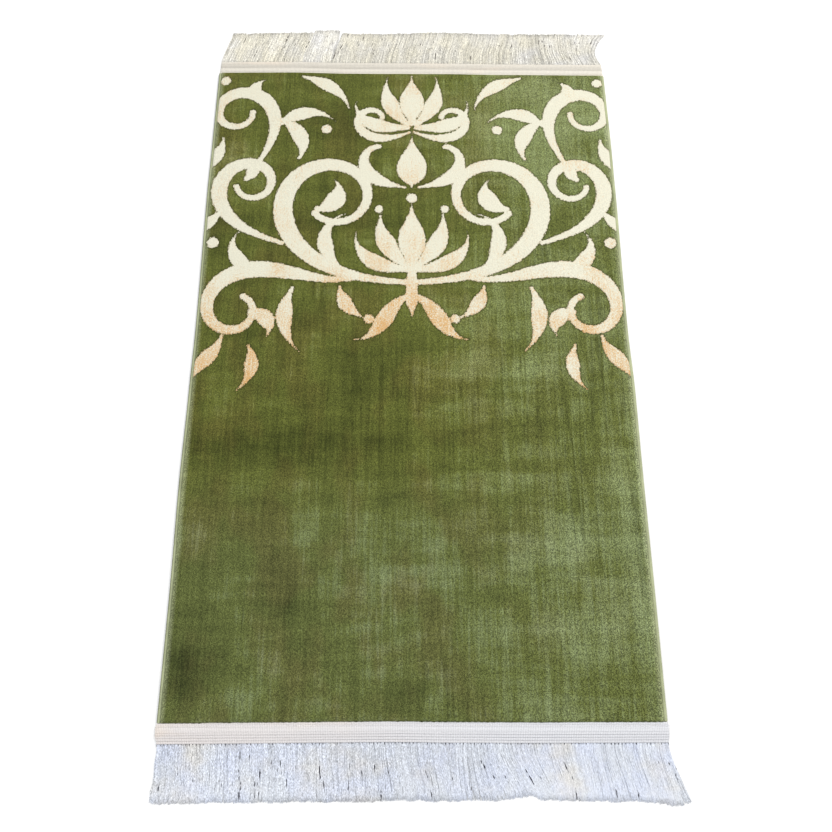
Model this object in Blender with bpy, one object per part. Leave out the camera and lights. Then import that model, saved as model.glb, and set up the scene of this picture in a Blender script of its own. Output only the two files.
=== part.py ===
"""Prayer rug: a flat pile rug, corded along both sides, with a woven fringed tape at each end.

Metres, +Z up. The origin is the centre of the underside, on the floor. +Y points to the far
(head) end of the rug and +X to its right. Every piece is first made straight, and then lay()
gives it the small unevenness with which a real rug lies on a floor.
"""

import math
import random

import bmesh
import bpy
from mathutils import Vector


def table(columns, *rows):
    """A short table: one dictionary for each row, with the column names as keys."""
    return [dict(zip(columns.split(), row)) for row in rows]


# Driving dimensions
RUG_WIDTH = 0.700               # over both side bindings
FIELD_LENGTH = 1.100            # pile, from tape to tape
PILE_TOP = 0.0080               # floor to the tips of the cut pile
GROUND = 0.0016                 # thickness of the bare ground weave
GAP = 0.0003                    # left between neighbouring pieces

# Pile slab
PILE_COLUMNS = 18
PILE_ROWS = 28
PILE_EDGE = table(
    "height inset",
    (0.75, 0.000),              # height as a share of PILE_TOP, inset from the slab's side
    (0.91, 0.0009),
    (1.00, 0.0030),
)
TONGUE_LENGTH = 0.020           # ground weave under each tape
RIPPLES = table(
    "rise across along phase",
    (0.00018, 9.0, -5.0, 0.4),  # slow rises of the pile's top, in radians for each metre
    (0.00014, -7.0, 13.0, 1.3),
    (0.00010, 5.0, 19.0, 2.6),
)

# Side bindings
BINDING_WIDTH = 0.0050
BINDING_TOP = 0.0048
BINDING_SKIN = 0.0012           # yarn outside the selvedge
BINDING_ROUND = 0.0022          # width of the rounded outer part
BINDING_DROOP = 0.0005          # how far the section thins towards the pile
BINDING_ARC = 6                 # facets of the rounded part
BINDING_STEPS = 30

# Fringe tapes
TAPE_WIDTH = 0.027
TAPE_INSET = 0.0005             # a tape's end stops this far inside the rug's full width
TAPE_FOLD = 0.0012              # from its pocket to where its end meets the floor
TAPE_SHOULDER = 0.0004          # softened edge beside the pile
TAPE_TOP = 0.0043
TAPE_END_TOP = 0.0032           # where the end is turned down
TAPE_EDGE_TOP = 0.0030          # along the outer edge, where the fringe comes out
TAPE_STEPS = 28
RIB_COUNT = 4
RIB_PITCH = 0.0035
RIB_RISE = 0.0005

# Fringes
LOCK_COUNT = 142                # at each end, 4.9 mm apart
STRIP_WIDTH = 0.0015            # root strip that joins the locks
STRIP_TOP = 0.0024
LOCK_RINGS = table(
    "along width height",
    (0.30, 0.0042, 0.0021),     # share of the lock's length, and its section there
    (0.68, 0.0037, 0.0016),
    (1.00, 0.0028, 0.0010),
)
LENGTH_SCATTER = 0.0015
LEAN_SCATTER = 0.0002

# How the fringes lie: lean is the sideways shift of the tips, bow that of the middle
NEAR_FRINGE = table(
    "across lean bow length",
    (-0.350, 0.002, 0.001, 0.0710),
    (-0.200, 0.003, 0.002, 0.0700),
    (-0.080, 0.004, 0.001, 0.0710),
    (0.040, 0.007, 0.002, 0.0690),
    (0.110, 0.012, 0.003, 0.0682),
    (0.155, 0.014, 0.004, 0.0635),
    (0.200, 0.007, 0.003, 0.0685),
    (0.280, 0.006, 0.002, 0.0702),
    (0.320, 0.007, 0.002, 0.0722),
    (0.338, 0.008, 0.002, 0.0760),
    (0.350, 0.018, 0.006, 0.0712),
)
FAR_FRINGE = table(
    "across lean bow length",
    (-0.350, 0.017, 0.007, 0.0656),
    (-0.202, 0.011, 0.004, 0.0676),
    (-0.200, 0.017, 0.006, 0.0735),
    (-0.150, 0.008, 0.003, 0.0745),
    (-0.147, 0.015, 0.006, 0.0680),
    (-0.080, 0.009, 0.004, 0.0672),
    (0.030, 0.007, 0.003, 0.0714),
    (0.170, 0.006, 0.002, 0.0688),
    (0.230, -0.004, -0.002, 0.0692),
    (0.300, -0.004, -0.006, 0.0698),
    (0.350, 0.009, -0.008, 0.0702),
)

# How the sides run: shift of each side, to the right, along the rug
SIDES = table(
    "along left right",
    (-0.650, 0.0010, 0.0005),
    (-0.640, 0.0015, 0.0005),
    (-0.625, 0.0034, 0.0000),
    (-0.600, 0.0030, -0.0012),
    (-0.585, 0.0038, -0.0020),
    (-0.577, 0.0018, -0.0006),
    (-0.566, -0.0016, 0.0014),
    (-0.557, -0.0020, 0.0020),
    (-0.550, 0.0000, 0.0000),
    (-0.386, 0.0003, 0.0004),
    (-0.210, -0.0013, 0.0001),
    (-0.066, 0.0002, 0.0008),
    (0.037, 0.0013, -0.0014),
    (0.320, -0.0010, 0.0010),
    (0.390, -0.0004, 0.0013),
    (0.550, 0.0000, 0.0000),
    (0.557, 0.0014, -0.0010),
    (0.580, 0.0020, -0.0020),
    (0.605, 0.0040, -0.0042),
    (0.630, 0.0058, -0.0010),
    (0.650, 0.0040, 0.0000),
)
ENDS = table(
    "across near far",          # shift of each end, to the far side, across the rug
    (-0.350, 0.0008, -0.0010),
    (-0.220, 0.0014, -0.0002),
    (-0.110, 0.0020, -0.0028),
    (-0.030, 0.0024, -0.0032),
    (0.060, 0.0012, -0.0034),
    (0.170, 0.0004, -0.0052),
    (0.350, 0.0004, -0.0060),
)

SMOOTH_ANGLE = math.radians(35)

GREEN = (0.136, 0.155, 0.049)
SAGE = (0.330, 0.370, 0.230)
WHITE = (0.720, 0.700, 0.690)
YARN = (0.680, 0.710, 0.760)


def soft_curve(rows, place, column, position):
    """A column's value at a position, eased smoothly from one row of the table to the next."""
    if position <= rows[0][place]:
        return rows[0][column]
    for low, high in zip(rows, rows[1:]):
        if position <= high[place]:
            share = (position - low[place]) / (high[place] - low[place])
            eased = share * share * (3 - 2 * share)
            return low[column] + (high[column] - low[column]) * eased
    return rows[-1][column]


def lay(mesh):
    """Give a straight piece the rug's own unevenness, in plan, as it lies on the floor."""
    for vert in mesh.verts:
        x, y, z = vert.co
        share = x / RUG_WIDTH + 0.5
        left = soft_curve(SIDES, "along", "left", y)
        right = soft_curve(SIDES, "along", "right", y)
        end = soft_curve(ENDS, "across", "near" if y < 0 else "far", x)
        reach = min(abs(y) / (FIELD_LENGTH / 2), 1)
        vert.co.x = x + left * (1 - share) + right * share
        vert.co.y = y + end * reach * reach


def ripple(x, y):
    """Rise and fall of the pile's top at a place on the rug."""
    return sum(
        wave["rise"] * math.sin(wave["across"] * x + wave["along"] * y + wave["phase"])
        for wave in RIPPLES
    )


def cloth_material(name, colour, roughness):
    """A plain woven finish."""
    material = bpy.data.materials.new(name)
    material.use_nodes = True
    shader = material.node_tree.nodes["Principled BSDF"]
    shader.inputs["Base Color"].default_value = (*colour, 1)
    shader.inputs["Roughness"].default_value = roughness
    shader.inputs["Metallic"].default_value = 0
    material.diffuse_color = (*colour, 1)
    return material


def add_object(name, mesh, colour, roughness):
    """Turn a finished mesh into a named object with its own finish."""
    lay(mesh)
    bmesh.ops.recalc_face_normals(mesh, faces=mesh.faces)
    data = bpy.data.meshes.new(name)
    mesh.to_mesh(data)
    mesh.free()
    data.shade_smooth()
    data.set_sharp_from_angle(angle=SMOOTH_ANGLE)
    data.materials.append(cloth_material(name + "_finish", colour, roughness))
    piece = bpy.data.objects.new(name, data)
    bpy.context.scene.collection.objects.link(piece)
    return piece


def extrude(mesh, faces, keep=False):
    """Extrude faces as one region. The faces that it started from go, unless they are kept."""
    extruded = bmesh.ops.extrude_face_region(mesh, geom=faces)["geom"]
    if not keep:
        bmesh.ops.delete(mesh, geom=faces, context="FACES")
    new_verts = [item for item in extruded if isinstance(item, bmesh.types.BMVert)]
    new_faces = [item for item in extruded if isinstance(item, bmesh.types.BMFace)]
    return new_verts, new_faces


def sweep(sections):
    """A closed solid through a row of like sections, each a list of points."""
    mesh = bmesh.new()
    face = mesh.faces.new([mesh.verts.new(point) for point in sections[0]])
    numbers = {tuple(vert.co): number for number, vert in enumerate(face.verts)}
    for section in sections[1:]:
        verts, faces = extrude(mesh, [face], keep=section is sections[1])
        face = faces[0]
        placed = {}
        for vert in verts:
            number = numbers[tuple(vert.co)]
            vert.co = section[number]
            placed[tuple(vert.co)] = number
        numbers = placed
    return mesh


def raise_region(mesh, faces, height, inset, keep=False):
    """Pull a flat region up to a height, drawn in a little along its rim."""
    verts, new_faces = extrude(mesh, faces, keep)
    half_width = max(vert.co.x for vert in verts)
    half_length = max(vert.co.y for vert in verts)
    for vert in verts:
        vert.co.z = height
        if abs(abs(vert.co.x) - half_width) < GAP:
            vert.co.x -= math.copysign(inset, vert.co.x)
        if abs(abs(vert.co.y) - half_length) < GAP:
            vert.co.y -= math.copysign(inset, vert.co.y)
    return new_faces


def rim_faces(mesh, low, high, direction):
    """Faces of the slab's rim between two heights that look in a direction."""
    mesh.normal_update()
    level = (low + high) / 2
    return [
        face
        for face in mesh.faces
        if abs(face.calc_center_median().z - level) < GAP
        and face.normal.dot(direction) > 0.9
    ]


def pull_out(mesh, faces, shift):
    """Pull a strip of faces straight out by a shift."""
    verts, _ = extrude(mesh, faces)
    bmesh.ops.translate(mesh, vec=shift, verts=verts)


def make_pile_rug():
    """Ground weave and cut pile as one slab, with its tongues and selvedges."""
    mesh = bmesh.new()
    bmesh.ops.create_grid(mesh, x_segments=PILE_COLUMNS, y_segments=PILE_ROWS, size=0.5)
    half_width = RUG_WIDTH / 2 - BINDING_WIDTH - GAP
    for vert in mesh.verts:
        vert.co.x *= 2 * half_width
        vert.co.y *= FIELD_LENGTH
    under = list(mesh.faces)
    top = raise_region(mesh, under, GROUND, 0, keep=True)
    top = raise_region(mesh, top, 2 * GROUND, 0)
    inset = 0
    for edge in PILE_EDGE:
        top = raise_region(mesh, top, edge["height"] * PILE_TOP, edge["inset"] - inset)
        inset = edge["inset"]
    bmesh.ops.recalc_face_normals(mesh, faces=mesh.faces)
    selvedge = BINDING_WIDTH - BINDING_SKIN
    for side in (-1, 1):
        along_y = rim_faces(mesh, 0, GROUND, Vector((0, side, 0)))
        pull_out(mesh, along_y, Vector((0, side * TONGUE_LENGTH, 0)))
        along_x = rim_faces(mesh, GROUND, 2 * GROUND, Vector((side, 0, 0)))
        pull_out(mesh, along_x, Vector((side * selvedge, 0, 0)))
    for vert in mesh.verts:
        if vert.co.z > PILE_TOP - GAP:
            vert.co.z += ripple(vert.co.x, vert.co.y)
    flat = [face for face in mesh.faces if face.calc_center_median().z < GAP]
    bmesh.ops.dissolve_faces(mesh, faces=flat)
    return add_object("pile_rug", mesh, GREEN, 0.75)


def binding_section(y):
    """Section of the right binding: a rounded cord with a slot for the selvedge."""
    slot_low = GROUND - GAP
    slot_high = 2 * GROUND + GAP
    inward_and_up = []
    for facet in range(BINDING_ARC + 1):
        turn = math.pi * (facet / BINDING_ARC - 0.5)
        inward = BINDING_ROUND * (1 - math.cos(turn))
        inward_and_up.append((inward, BINDING_TOP / 2 * (1 + math.sin(turn))))
    inward_and_up += [
        (BINDING_WIDTH, BINDING_TOP - BINDING_DROOP),
        (BINDING_WIDTH, slot_high),
        (BINDING_SKIN, slot_high),
        (BINDING_SKIN, slot_low),
        (BINDING_WIDTH, slot_low),
        (BINDING_WIDTH, BINDING_DROOP),
    ]
    return [(RUG_WIDTH / 2 - inward, y, up) for inward, up in inward_and_up]


def make_binding(name, side):
    """Overcast cord along one side of the pile."""
    sections = []
    for step in range(BINDING_STEPS + 1):
        y = FIELD_LENGTH * (step / BINDING_STEPS - 0.5)
        sections.append([(side * x, y, z) for x, y, z in binding_section(y)])
    return add_object(name, sweep(sections), SAGE, 0.7)


def tape_section(x, top, closed):
    """Section of the far tape, from its foot round its underside, inner edge and ribs."""
    inner = FIELD_LENGTH / 2 + GAP
    outer = inner + TAPE_WIDTH
    foot = FIELD_LENGTH / 2 + TONGUE_LENGTH + GAP
    under = 0 if closed else GROUND + GAP
    points = [(outer - GAP, 0), (foot, 0)]
    points.append((foot - TAPE_FOLD if closed else foot, under))
    points.append((inner, under))
    points += [(inner, top - TAPE_SHOULDER), (inner + TAPE_SHOULDER, top)]
    first_rib = outer - RIB_COUNT * RIB_PITCH
    points.append((first_rib - RIB_PITCH / 2, top))
    for rib in range(RIB_COUNT):
        fall = (top - TAPE_EDGE_TOP) * rib / RIB_COUNT
        valley = first_rib + rib * RIB_PITCH
        points.append((valley, top - fall - RIB_RISE / 2))
        points.append((valley + RIB_PITCH / 2, top - fall + RIB_RISE / 2))
    points.append((outer, TAPE_EDGE_TOP / 2))
    return [(x, y, z) for y, z in points]


def make_tape(name, end):
    """Woven heading of a fringe: it covers the tongue and is turned down all round."""
    half = RUG_WIDTH / 2 - TAPE_INSET
    pocket = RUG_WIDTH / 2 - BINDING_WIDTH
    sections = [tape_section(-half, TAPE_END_TOP, True)]
    sections.append(tape_section(-pocket - TAPE_FOLD, TAPE_TOP, True))
    for step in range(TAPE_STEPS + 1):
        x = pocket * (2 * step / TAPE_STEPS - 1)
        sections.append(tape_section(x, TAPE_TOP, False))
    sections.append(tape_section(pocket + TAPE_FOLD, TAPE_TOP, True))
    sections.append(tape_section(half, TAPE_END_TOP, True))
    if end < 0:
        sections = [[(x, -y, z) for x, y, z in section] for section in sections]
    return add_object(name, sweep(sections), WHITE, 0.85)


def drift(lean, bow, along):
    """Sideways shift along a lock: none at its root, bow half way and lean at its tip."""
    return lean * along * along + (4 * bow - lean) * along * (1 - along)


def grow_lock(mesh, face, end, rows, scatter):
    """Draw one lock out of its place on the root strip, in a few rings down to its tip."""
    root = face.calc_center_median()
    length = soft_curve(rows, "across", "length", root.x)
    length += scatter.uniform(-LENGTH_SCATTER, LENGTH_SCATTER)
    lean = soft_curve(rows, "across", "lean", root.x)
    lean += scatter.uniform(-LEAN_SCATTER, LEAN_SCATTER)
    bow = soft_curve(rows, "across", "bow", root.x)
    for ring in LOCK_RINGS:
        face = bmesh.ops.extrude_discrete_faces(mesh, faces=[face])["faces"][0]
        centre = face.calc_center_median()
        along = ring["along"]
        for vert in face.verts:
            side = math.copysign(ring["width"] / 2, vert.co.x - centre.x)
            vert.co.x = root.x + drift(lean, bow, along) + side
            vert.co.y = root.y + end * length * along
            vert.co.z = ring["height"] if vert.co.z > centre.z else 0


def make_fringe(name, end, rows, seed):
    """A row of locks that stand apart, fused at their roots into one narrow strip."""
    scatter = random.Random(seed)
    half = RUG_WIDTH / 2 - TAPE_INSET
    inner = FIELD_LENGTH / 2 + GAP + TAPE_WIDTH + GAP
    outer = inner + STRIP_WIDTH
    corners = [(inner, 0), (outer, 0), (outer, STRIP_TOP), (inner, STRIP_TOP)]
    sections = []
    for step in range(LOCK_COUNT + 1):
        x = half * (2 * step / LOCK_COUNT - 1)
        sections.append([(x, end * y, z) for y, z in corners])
    mesh = sweep(sections)
    bmesh.ops.recalc_face_normals(mesh, faces=mesh.faces)
    roots = [face for face in mesh.faces if face.normal.y * end > 0.9]
    for face in sorted(roots, key=lambda item: item.calc_center_median().x):
        grow_lock(mesh, face, end, rows, scatter)
    return add_object(name, mesh, YARN, 0.8)


def main():
    """Clear the scene and make every piece of the rug."""
    for item in list(bpy.data.objects):
        bpy.data.objects.remove(item, do_unlink=True)
    make_pile_rug()
    make_binding("binding_left", -1)
    make_binding("binding_right", 1)
    make_tape("tape_near", -1)
    make_tape("tape_far", 1)
    make_fringe("fringe_near", -1, NEAR_FRINGE, seed=11)
    make_fringe("fringe_far", 1, FAR_FRINGE, seed=23)


main()
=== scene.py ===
"""Prayer rug: the looks of a flat, olive green pile rug with a scrolling leaf design.

The rug has corded sides and a woven, fringed tape at each end. Every new piece is made
straight, in metres, and lay() then gives it the same small unevenness as the solids have.
+Y points to the far (head) end of the rug, and +X to its right.
"""

import math
import random

import bmesh
import bpy
import numpy as np
from bpy.props import FloatProperty, FloatVectorProperty, PointerProperty
from bpy.types import Operator, Panel, PropertyGroup
from mathutils import Matrix, Vector, noise


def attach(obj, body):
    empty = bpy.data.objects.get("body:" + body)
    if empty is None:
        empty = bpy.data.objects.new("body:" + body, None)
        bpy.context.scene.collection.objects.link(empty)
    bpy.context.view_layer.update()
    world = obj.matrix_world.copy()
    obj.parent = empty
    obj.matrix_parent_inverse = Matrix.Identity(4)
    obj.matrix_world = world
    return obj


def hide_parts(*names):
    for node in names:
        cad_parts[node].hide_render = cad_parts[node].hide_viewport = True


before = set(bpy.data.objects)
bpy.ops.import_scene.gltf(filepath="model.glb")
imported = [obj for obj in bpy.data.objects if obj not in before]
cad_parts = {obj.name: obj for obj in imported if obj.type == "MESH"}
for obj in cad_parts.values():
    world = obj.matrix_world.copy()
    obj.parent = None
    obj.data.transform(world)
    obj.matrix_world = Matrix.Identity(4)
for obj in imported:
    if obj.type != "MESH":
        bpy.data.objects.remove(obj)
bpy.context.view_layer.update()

bl_info = {
    "name": "Prayer Rug",
    "version": (1, 0, 0),
    "blender": (4, 5, 0),
    "location": "View3D > Sidebar > Prayer Rug",
    "description": "Dresses the solids of a prayer rug: pile, bindings, tapes and fringes",
    "category": "Add Mesh",
}

MM = 0.001
SEW = 1e-7                      # points closer than this are one
WHITE = (1.0, 1.0, 1.0)


def table(columns, *rows):
    """A short table: one dictionary for each row, with the column names as keys."""
    return [dict(zip(columns.split(), row)) for row in rows]


# --- Sizes ------------------------------------------------

RUG_WIDTH = 0.700               # over both side bindings
FIELD_LENGTH = 1.100            # pile, from tape to tape
HALF_WIDTH = RUG_WIDTH / 2
HALF_LENGTH = FIELD_LENGTH / 2
PILE_TOP = 0.0080
GROUND = 0.0016                 # thickness of the ground weave
GAP = 0.0003                    # between neighbouring solids

BINDING_WIDTH = 0.0050
PILE_HALF_WIDTH = HALF_WIDTH - BINDING_WIDTH - GAP
TONGUE_LENGTH = 0.020           # ground weave under each tape
PILE_RIM = table(
    "inset height",             # from the pile's level top out and down to the ground weave
    (0.0042, 1.000),
    (0.0022, 0.985),
    (0.0011, 0.930),
    (0.0004, 0.840),
    (0.0000, 0.720),
    (0.0003, 0.560),
    (0.0000, 0.400),
)

BINDING_TOP = 0.0048
BINDING_SKIN = 0.0012           # of yarn outside the selvedge
BINDING_ROUND = 0.0022
BINDING_DROOP = 0.0005          # of the cord's inner edge
BINDING_ARC = 8                 # facets round the cord
BINDING_CORNER = math.radians(50)   # corners sharper than this stay crisp
WRAP_STEPS = 4                  # sections for each overcast wrap
WRAP_RISE = 0.00022
WRAP_SLANT = 0.9                # turns by which a wrap slopes across the cord

TAPE_WIDTH = 0.027
TAPE_INNER = HALF_LENGTH + GAP  # from the rug's middle to a tape's inner edge
TAPE_OUTER = TAPE_INNER + TAPE_WIDTH
TAPE_INSET = 0.0005             # from the rug's side to a tape's end
TAPE_HALF = HALF_WIDTH - TAPE_INSET
POCKET_HALF = HALF_WIDTH - BINDING_WIDTH    # where a tape lies over the pile's tongue
TAPE_FOLD = 0.0012
TAPE_TOP = 0.0043
TAPE_END_TOP = 0.0032           # where it folds down at the rug's side
TAPE_EDGE_TOP = 0.0030          # where the fringe comes out
TAPE_CORNER = math.radians(60)
TAPE_ROUND = (0.0007, 0.0005)   # how far a tape's corners are set in and up past its end
SCALLOP = 0.0011                # how far the stitches pull in a tape's inner edge
SCALLOP_PITCH = 0.0082
SCALLOP_FADE = 7                # gone at a seventh of the tape's width
RIB_COUNT = 4
RIB_PITCH = 0.0035
RIB_RISE = 0.0005
RIB_SHAPE = table(
    "share rise",               # from valley to valley, in shares of a rib's pitch and rise
    (0.00, -0.9),
    (0.14, 0.1),
    (0.50, 0.7),
    (0.86, 0.1),
)
HEM_DEPTH = 0.6                 # painted shade of the hem's two sunk lines, as a share of that in a valley between ribs
TAPE_HEM = table(
    "across rise",              # the hem along a tape's inner edge, with two sunk lines
    (0.0000, -0.0007),
    (0.0003, 0.0000),
    (0.0012, 0.0004),
    (0.0026, 0.0002),
    (0.0035, -0.0003),
    (0.0042, 0.0001),
    (0.0049, 0.0003),
    (0.0056, 0.0001),
    (0.0062, -0.0003),
    (0.0069, 0.0000),
)
HEM_STEP = 0.0009               # from the hem to the plain weave
FAR_TAPE = table(
    "across width depth",       # the far tape is drawn harder, in painted light and shade: lighter lines where depth is negative, a darker band where it is positive
    (0.0088, 0.0014, -0.7),
    (0.0148, 0.0032, 0.9),
    (0.0240, 0.0024, -0.7),
)

SELVEDGE_CREST = 0.7            # how much painted highlight a tape's raised inner edge takes, as the ribs' crests do
CREST_PLACE = 0.0009            # from the inner edge
CREST_REACH = 0.0008
COCKLE = 0.00022                # small rise and fall of a sewn tape
STITCH_LINE = 0.0049            # from a tape's inner edge to its stitches
STITCH_THREAD = 0.00045
STITCH_HALF = 0.36              # half a stitch, as a share of the pitch
STITCH_RISE = 0.00026
STITCH_DIP = 0.0004             # of a stitch's ends, where it goes into the tape

BRUSH_RISE = 0.00025            # soft rise and fall of the brushed pile
TUFT_RISE = 0.00010
RIM_ROUGHNESS = 0.00022
RIM_DEPTH = 0.002               # how much of the pile's rim is rough
KNOTS_A_METRE = (1000, 800, 0)  # of the tufts that each have a tone of their own
SHEEN_GREEN = (0.70, 0.80, 0.45)

LOCK_COUNT = 142
LENGTH_SCATTER = 0.0007         # from lock to lock
LEAN_SCATTER = 0.0002
UNEVEN_TIPS = 0.0016            # how far the tips of some clumps stand out past the others
CLUMP_LEAN = 0.0016             # how far the tips of neighbouring locks lean together
SMALL_CLUMP_LEAN = 0.0004
TIP_PAST = 0.0030               # how far the strands reach past their lock
STRAND_TIPS = (-0.0018, 0.0004)     # scatter of the strands' lengths
YARN_TIPS = (-0.0010, 0.0006)   # and of the yarns' in a strand
YARN_WANDER = 0.0006            # how far a yarn's tip strays from its strand
TIP_TAPER = 0.55                # of a yarn's thickness, at its tip
LEAST_HEIGHT = 0.0002           # left for a layer's yarns to lie in
# From root to tip: how high a lock stands, and how far its strands spread, in locks' pitches
LOCK_HEIGHTS = (0, 0.06, 0.3, 0.68, 1), (0.0029, 0.0030, 0.0026, 0.0021, 0.0015)
LOCK_SPREADS = (0, 0.04, 0.10, 0.5, 1), (0.44, 0.48, 0.52, 0.56, 0.58)

# How the fringes lie: lean is the sideways shift of the tips, and bow that of the middle. The
# loose yarns also swirl sideways by flow, and pale is how much of a second tone they take.
NEAR_FRINGE = table(
    "across lean bow length flow pale",
    (-0.350, 0.002, 0.001, 0.0710, -0.002, 0.1),
    (-0.300, 0.002, 0.001, 0.0707, 0.003, 1.0),
    (-0.260, 0.003, 0.001, 0.0703, 0.001, 0.0),
    (-0.200, 0.003, 0.002, 0.0700, 0.000, 0.1),
    (-0.080, 0.004, 0.001, 0.0710, 0.001, 0.7),
    (-0.020, 0.005, 0.001, 0.0700, 0.007, 0.0),
    (0.040, 0.007, 0.002, 0.0690, 0.004, 0.0),
    (0.066, 0.009, 0.002, 0.0687, -0.004, 0.0),
    (0.094, 0.011, 0.003, 0.0686, 0.008, 0.1),
    (0.125, 0.013, 0.004, 0.0635, 0.016, 0.1),
    (0.155, 0.014, 0.004, 0.0680, 0.014, 0.2),
    (0.200, 0.007, 0.003, 0.0685, 0.009, 1.0),
    (0.240, 0.006, 0.002, 0.0695, 0.003, 0.0),
    (0.280, 0.006, 0.002, 0.0702, 0.009, 0.0),
    (0.320, 0.007, 0.002, 0.0722, 0.007, 0.2),
    (0.338, 0.008, 0.002, 0.0760, 0.006, 0.5),
    (0.350, 0.018, 0.006, 0.0712, 0.004, 0.2),
)
FAR_FRINGE = table(
    "across lean bow length flow pale",
    (-0.350, 0.017, 0.007, 0.0656, 0.000, 0.3),
    (-0.300, 0.014, 0.006, 0.0662, 0.005, 0.0),
    (-0.202, 0.011, 0.004, 0.0676, 0.006, 0.0),
    (-0.200, 0.017, 0.006, 0.0735, 0.003, 1.5),
    (-0.150, 0.008, 0.003, 0.0745, 0.003, 1.5),
    (-0.147, 0.015, 0.006, 0.0680, 0.000, 0.0),
    (-0.080, 0.009, 0.004, 0.0672, 0.003, 0.0),
    (0.030, 0.007, 0.003, 0.0714, 0.006, 0.2),
    (0.110, 0.006, 0.002, 0.0700, 0.006, 0.0),
    (0.170, 0.006, 0.002, 0.0688, 0.004, 0.2),
    (0.230, -0.004, -0.002, 0.0692, -0.006, 0.5),
    (0.300, -0.004, -0.006, 0.0698, -0.008, 1.0),
    (0.350, 0.009, -0.008, 0.0702, 0.000, 1.5),
)

# Each lock has two layers of loose yarn, in strands of a few yarns. Levels, low and high, are
# shares of the lock's height, wander says how far a strand strays from its lock, shade is
# painted shade, darker on the under layer in the over layer's shadow, and slit_width how wide
# a slit's painted shadow line is on the layer.
FRINGE_LAYERS = table(
    "name strands yarns width low high points wander crimp shade slit_width",
    ("under", 3, 2, 0.0014, 0.00, 0.30, 9, 0.0008, 0.0003, 0.90, 0.0020),
    ("over", 7, 2, 0.0008, 0.30, 1.00, 12, 0.0009, 0.0006, 1.00, 0.0009),
)
STRAY_SHARE = 0.05              # strands that lie across the others, and above them
STRAY = 0.0045
STRAY_LIFT = 1.15
STRAY_MOST = 1.1
CRINKLE = 340                   # how fast a yarn's tone changes along it
YARN_STEP = 1.37                # from one yarn's number to the next, for its own tones
COOL_HUE = (0.988, 0.994, 1.018)   # the yarn's own colour strays between these two tints
WARM_HUE = (1.010, 1.004, 0.978)
STRAND_TONES = (0.94, 1.045)    # from the darkest strand to the palest
YARN_TONES = (-0.12, 0.07)      # of the yarns in a strand, times how uneven the fringe is
CRIMP_WAVES = (1.6, 3.4)        # waves along a strand

# Slits where the upper yarns have parted: from where to where along the fringe, how far each
# slit's own line slants, and how dark its painted shadow is, which also sets how far it opens
NEAR_PARTINGS = table(
    "across slant start end dark",
    (-0.342, 0.001, 0.62, 0.95, 0.80),
    (-0.303, 0.005, 0.33, 0.66, 0.85),
    (-0.236, 0.000, 0.10, 0.32, 0.80),
    (-0.223, 0.000, 0.12, 0.30, 0.80),
    (-0.236, 0.002, 0.40, 0.72, 0.75),
    (-0.233, 0.001, 0.66, 1.04, 1.10),
    (-0.214, 0.005, 0.60, 0.84, 0.90),
    (-0.208, 0.000, 0.50, 0.68, 1.20),
    (-0.207, 0.002, 0.74, 1.02, 1.05),
    (-0.184, 0.006, 0.40, 0.62, 0.80),
    (-0.172, 0.006, 0.48, 0.82, 0.85),
    (-0.127, 0.003, 0.44, 0.64, 1.00),
    (-0.121, 0.005, 0.62, 0.86, 1.00),
    (-0.088, 0.001, 0.62, 0.90, 1.05),
    (-0.070, 0.003, 0.42, 0.66, 0.80),
    (-0.053, -0.001, 0.36, 0.56, 1.00),
    (-0.043, 0.001, 0.86, 1.06, 1.00),
    (-0.035, 0.003, 0.40, 0.62, 0.80),
    (0.018, 0.005, 0.50, 0.72, 0.90),
    (0.024, 0.002, 0.84, 1.04, 0.90),
    (0.096, 0.015, 0.26, 0.62, 1.05),
    (0.107, 0.006, 0.54, 0.70, 0.95),
    (0.123, 0.009, 0.52, 0.78, 1.05),
    (0.155, 0.016, 0.36, 0.80, 1.10),
    (0.206, 0.006, 0.30, 0.50, 1.15),
    (0.214, 0.005, 0.52, 0.72, 0.85),
    (0.218, 0.001, 0.80, 1.04, 1.10),
    (0.272, 0.002, 0.76, 0.98, 0.90),
    (0.356, 0.004, 0.52, 0.72, 0.90),
)
FAR_PARTINGS = table(
    "across slant start end dark",
    (-0.314, 0.004, 0.66, 0.92, 0.80),
    (-0.290, 0.005, 0.14, 0.38, 1.00),
    (-0.236, 0.006, 0.66, 0.94, 1.10),
    (-0.196, 0.010, 0.30, 0.80, 0.90),
    (-0.143, 0.008, 0.10, 0.42, 1.05),
    (-0.134, 0.008, 0.30, 0.66, 1.05),
    (-0.075, 0.003, 0.55, 0.80, 0.80),
    (-0.071, 0.002, 0.25, 0.50, 0.85),
    (0.044, 0.001, 0.12, 0.36, 1.00),
    (0.110, 0.001, 0.12, 0.32, 1.00),
    (0.186, 0.002, 0.50, 0.86, 1.00),
    (0.201, 0.001, 0.62, 0.90, 0.85),
    (0.248, -0.003, 0.50, 0.74, 1.00),
    (0.294, -0.004, 0.14, 0.36, 1.00),
)
PARTING_OPENING = 0.0004        # how far a slit pushes the yarns on each side of it
PARTING_REACH = 0.0020          # how far from a slit the yarns still lean away from it
ROOT_DOT = 0.0008               # width of the painted shadow dot between two locks at their roots
ROOT_DOT_LENGTH = 0.08          # and its length, as a share of the fringe
FAR_ROOT_DOT = 0.45             # how dark the far fringe's painted shadow dots are, beside the near one's
DARK_END = 0.45                 # painted shadow: the cut ends of some strands are painted darker by this
PALE_END = 0.02                 # and all cut ends are painted paler by this, as painted light
DARK_END_FROM = 0.85            # where a cut end starts, as a share of the yarn

# How the two fringes differ: the share of their strands with a cut end painted dark with shadow,
# how uneven the tones of their yarns are, and how many small slits they have besides those in
# the tables
FRINGES = table(
    "name end seed dark_ends uneven small_slits rows partings",
    ("near", -1, 11, 0.04, 1.0, 36, NEAR_FRINGE, NEAR_PARTINGS),
    ("far", 1, 23, 0.36, 2.8, 95, FAR_FRINGE, FAR_PARTINGS),
)

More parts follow.
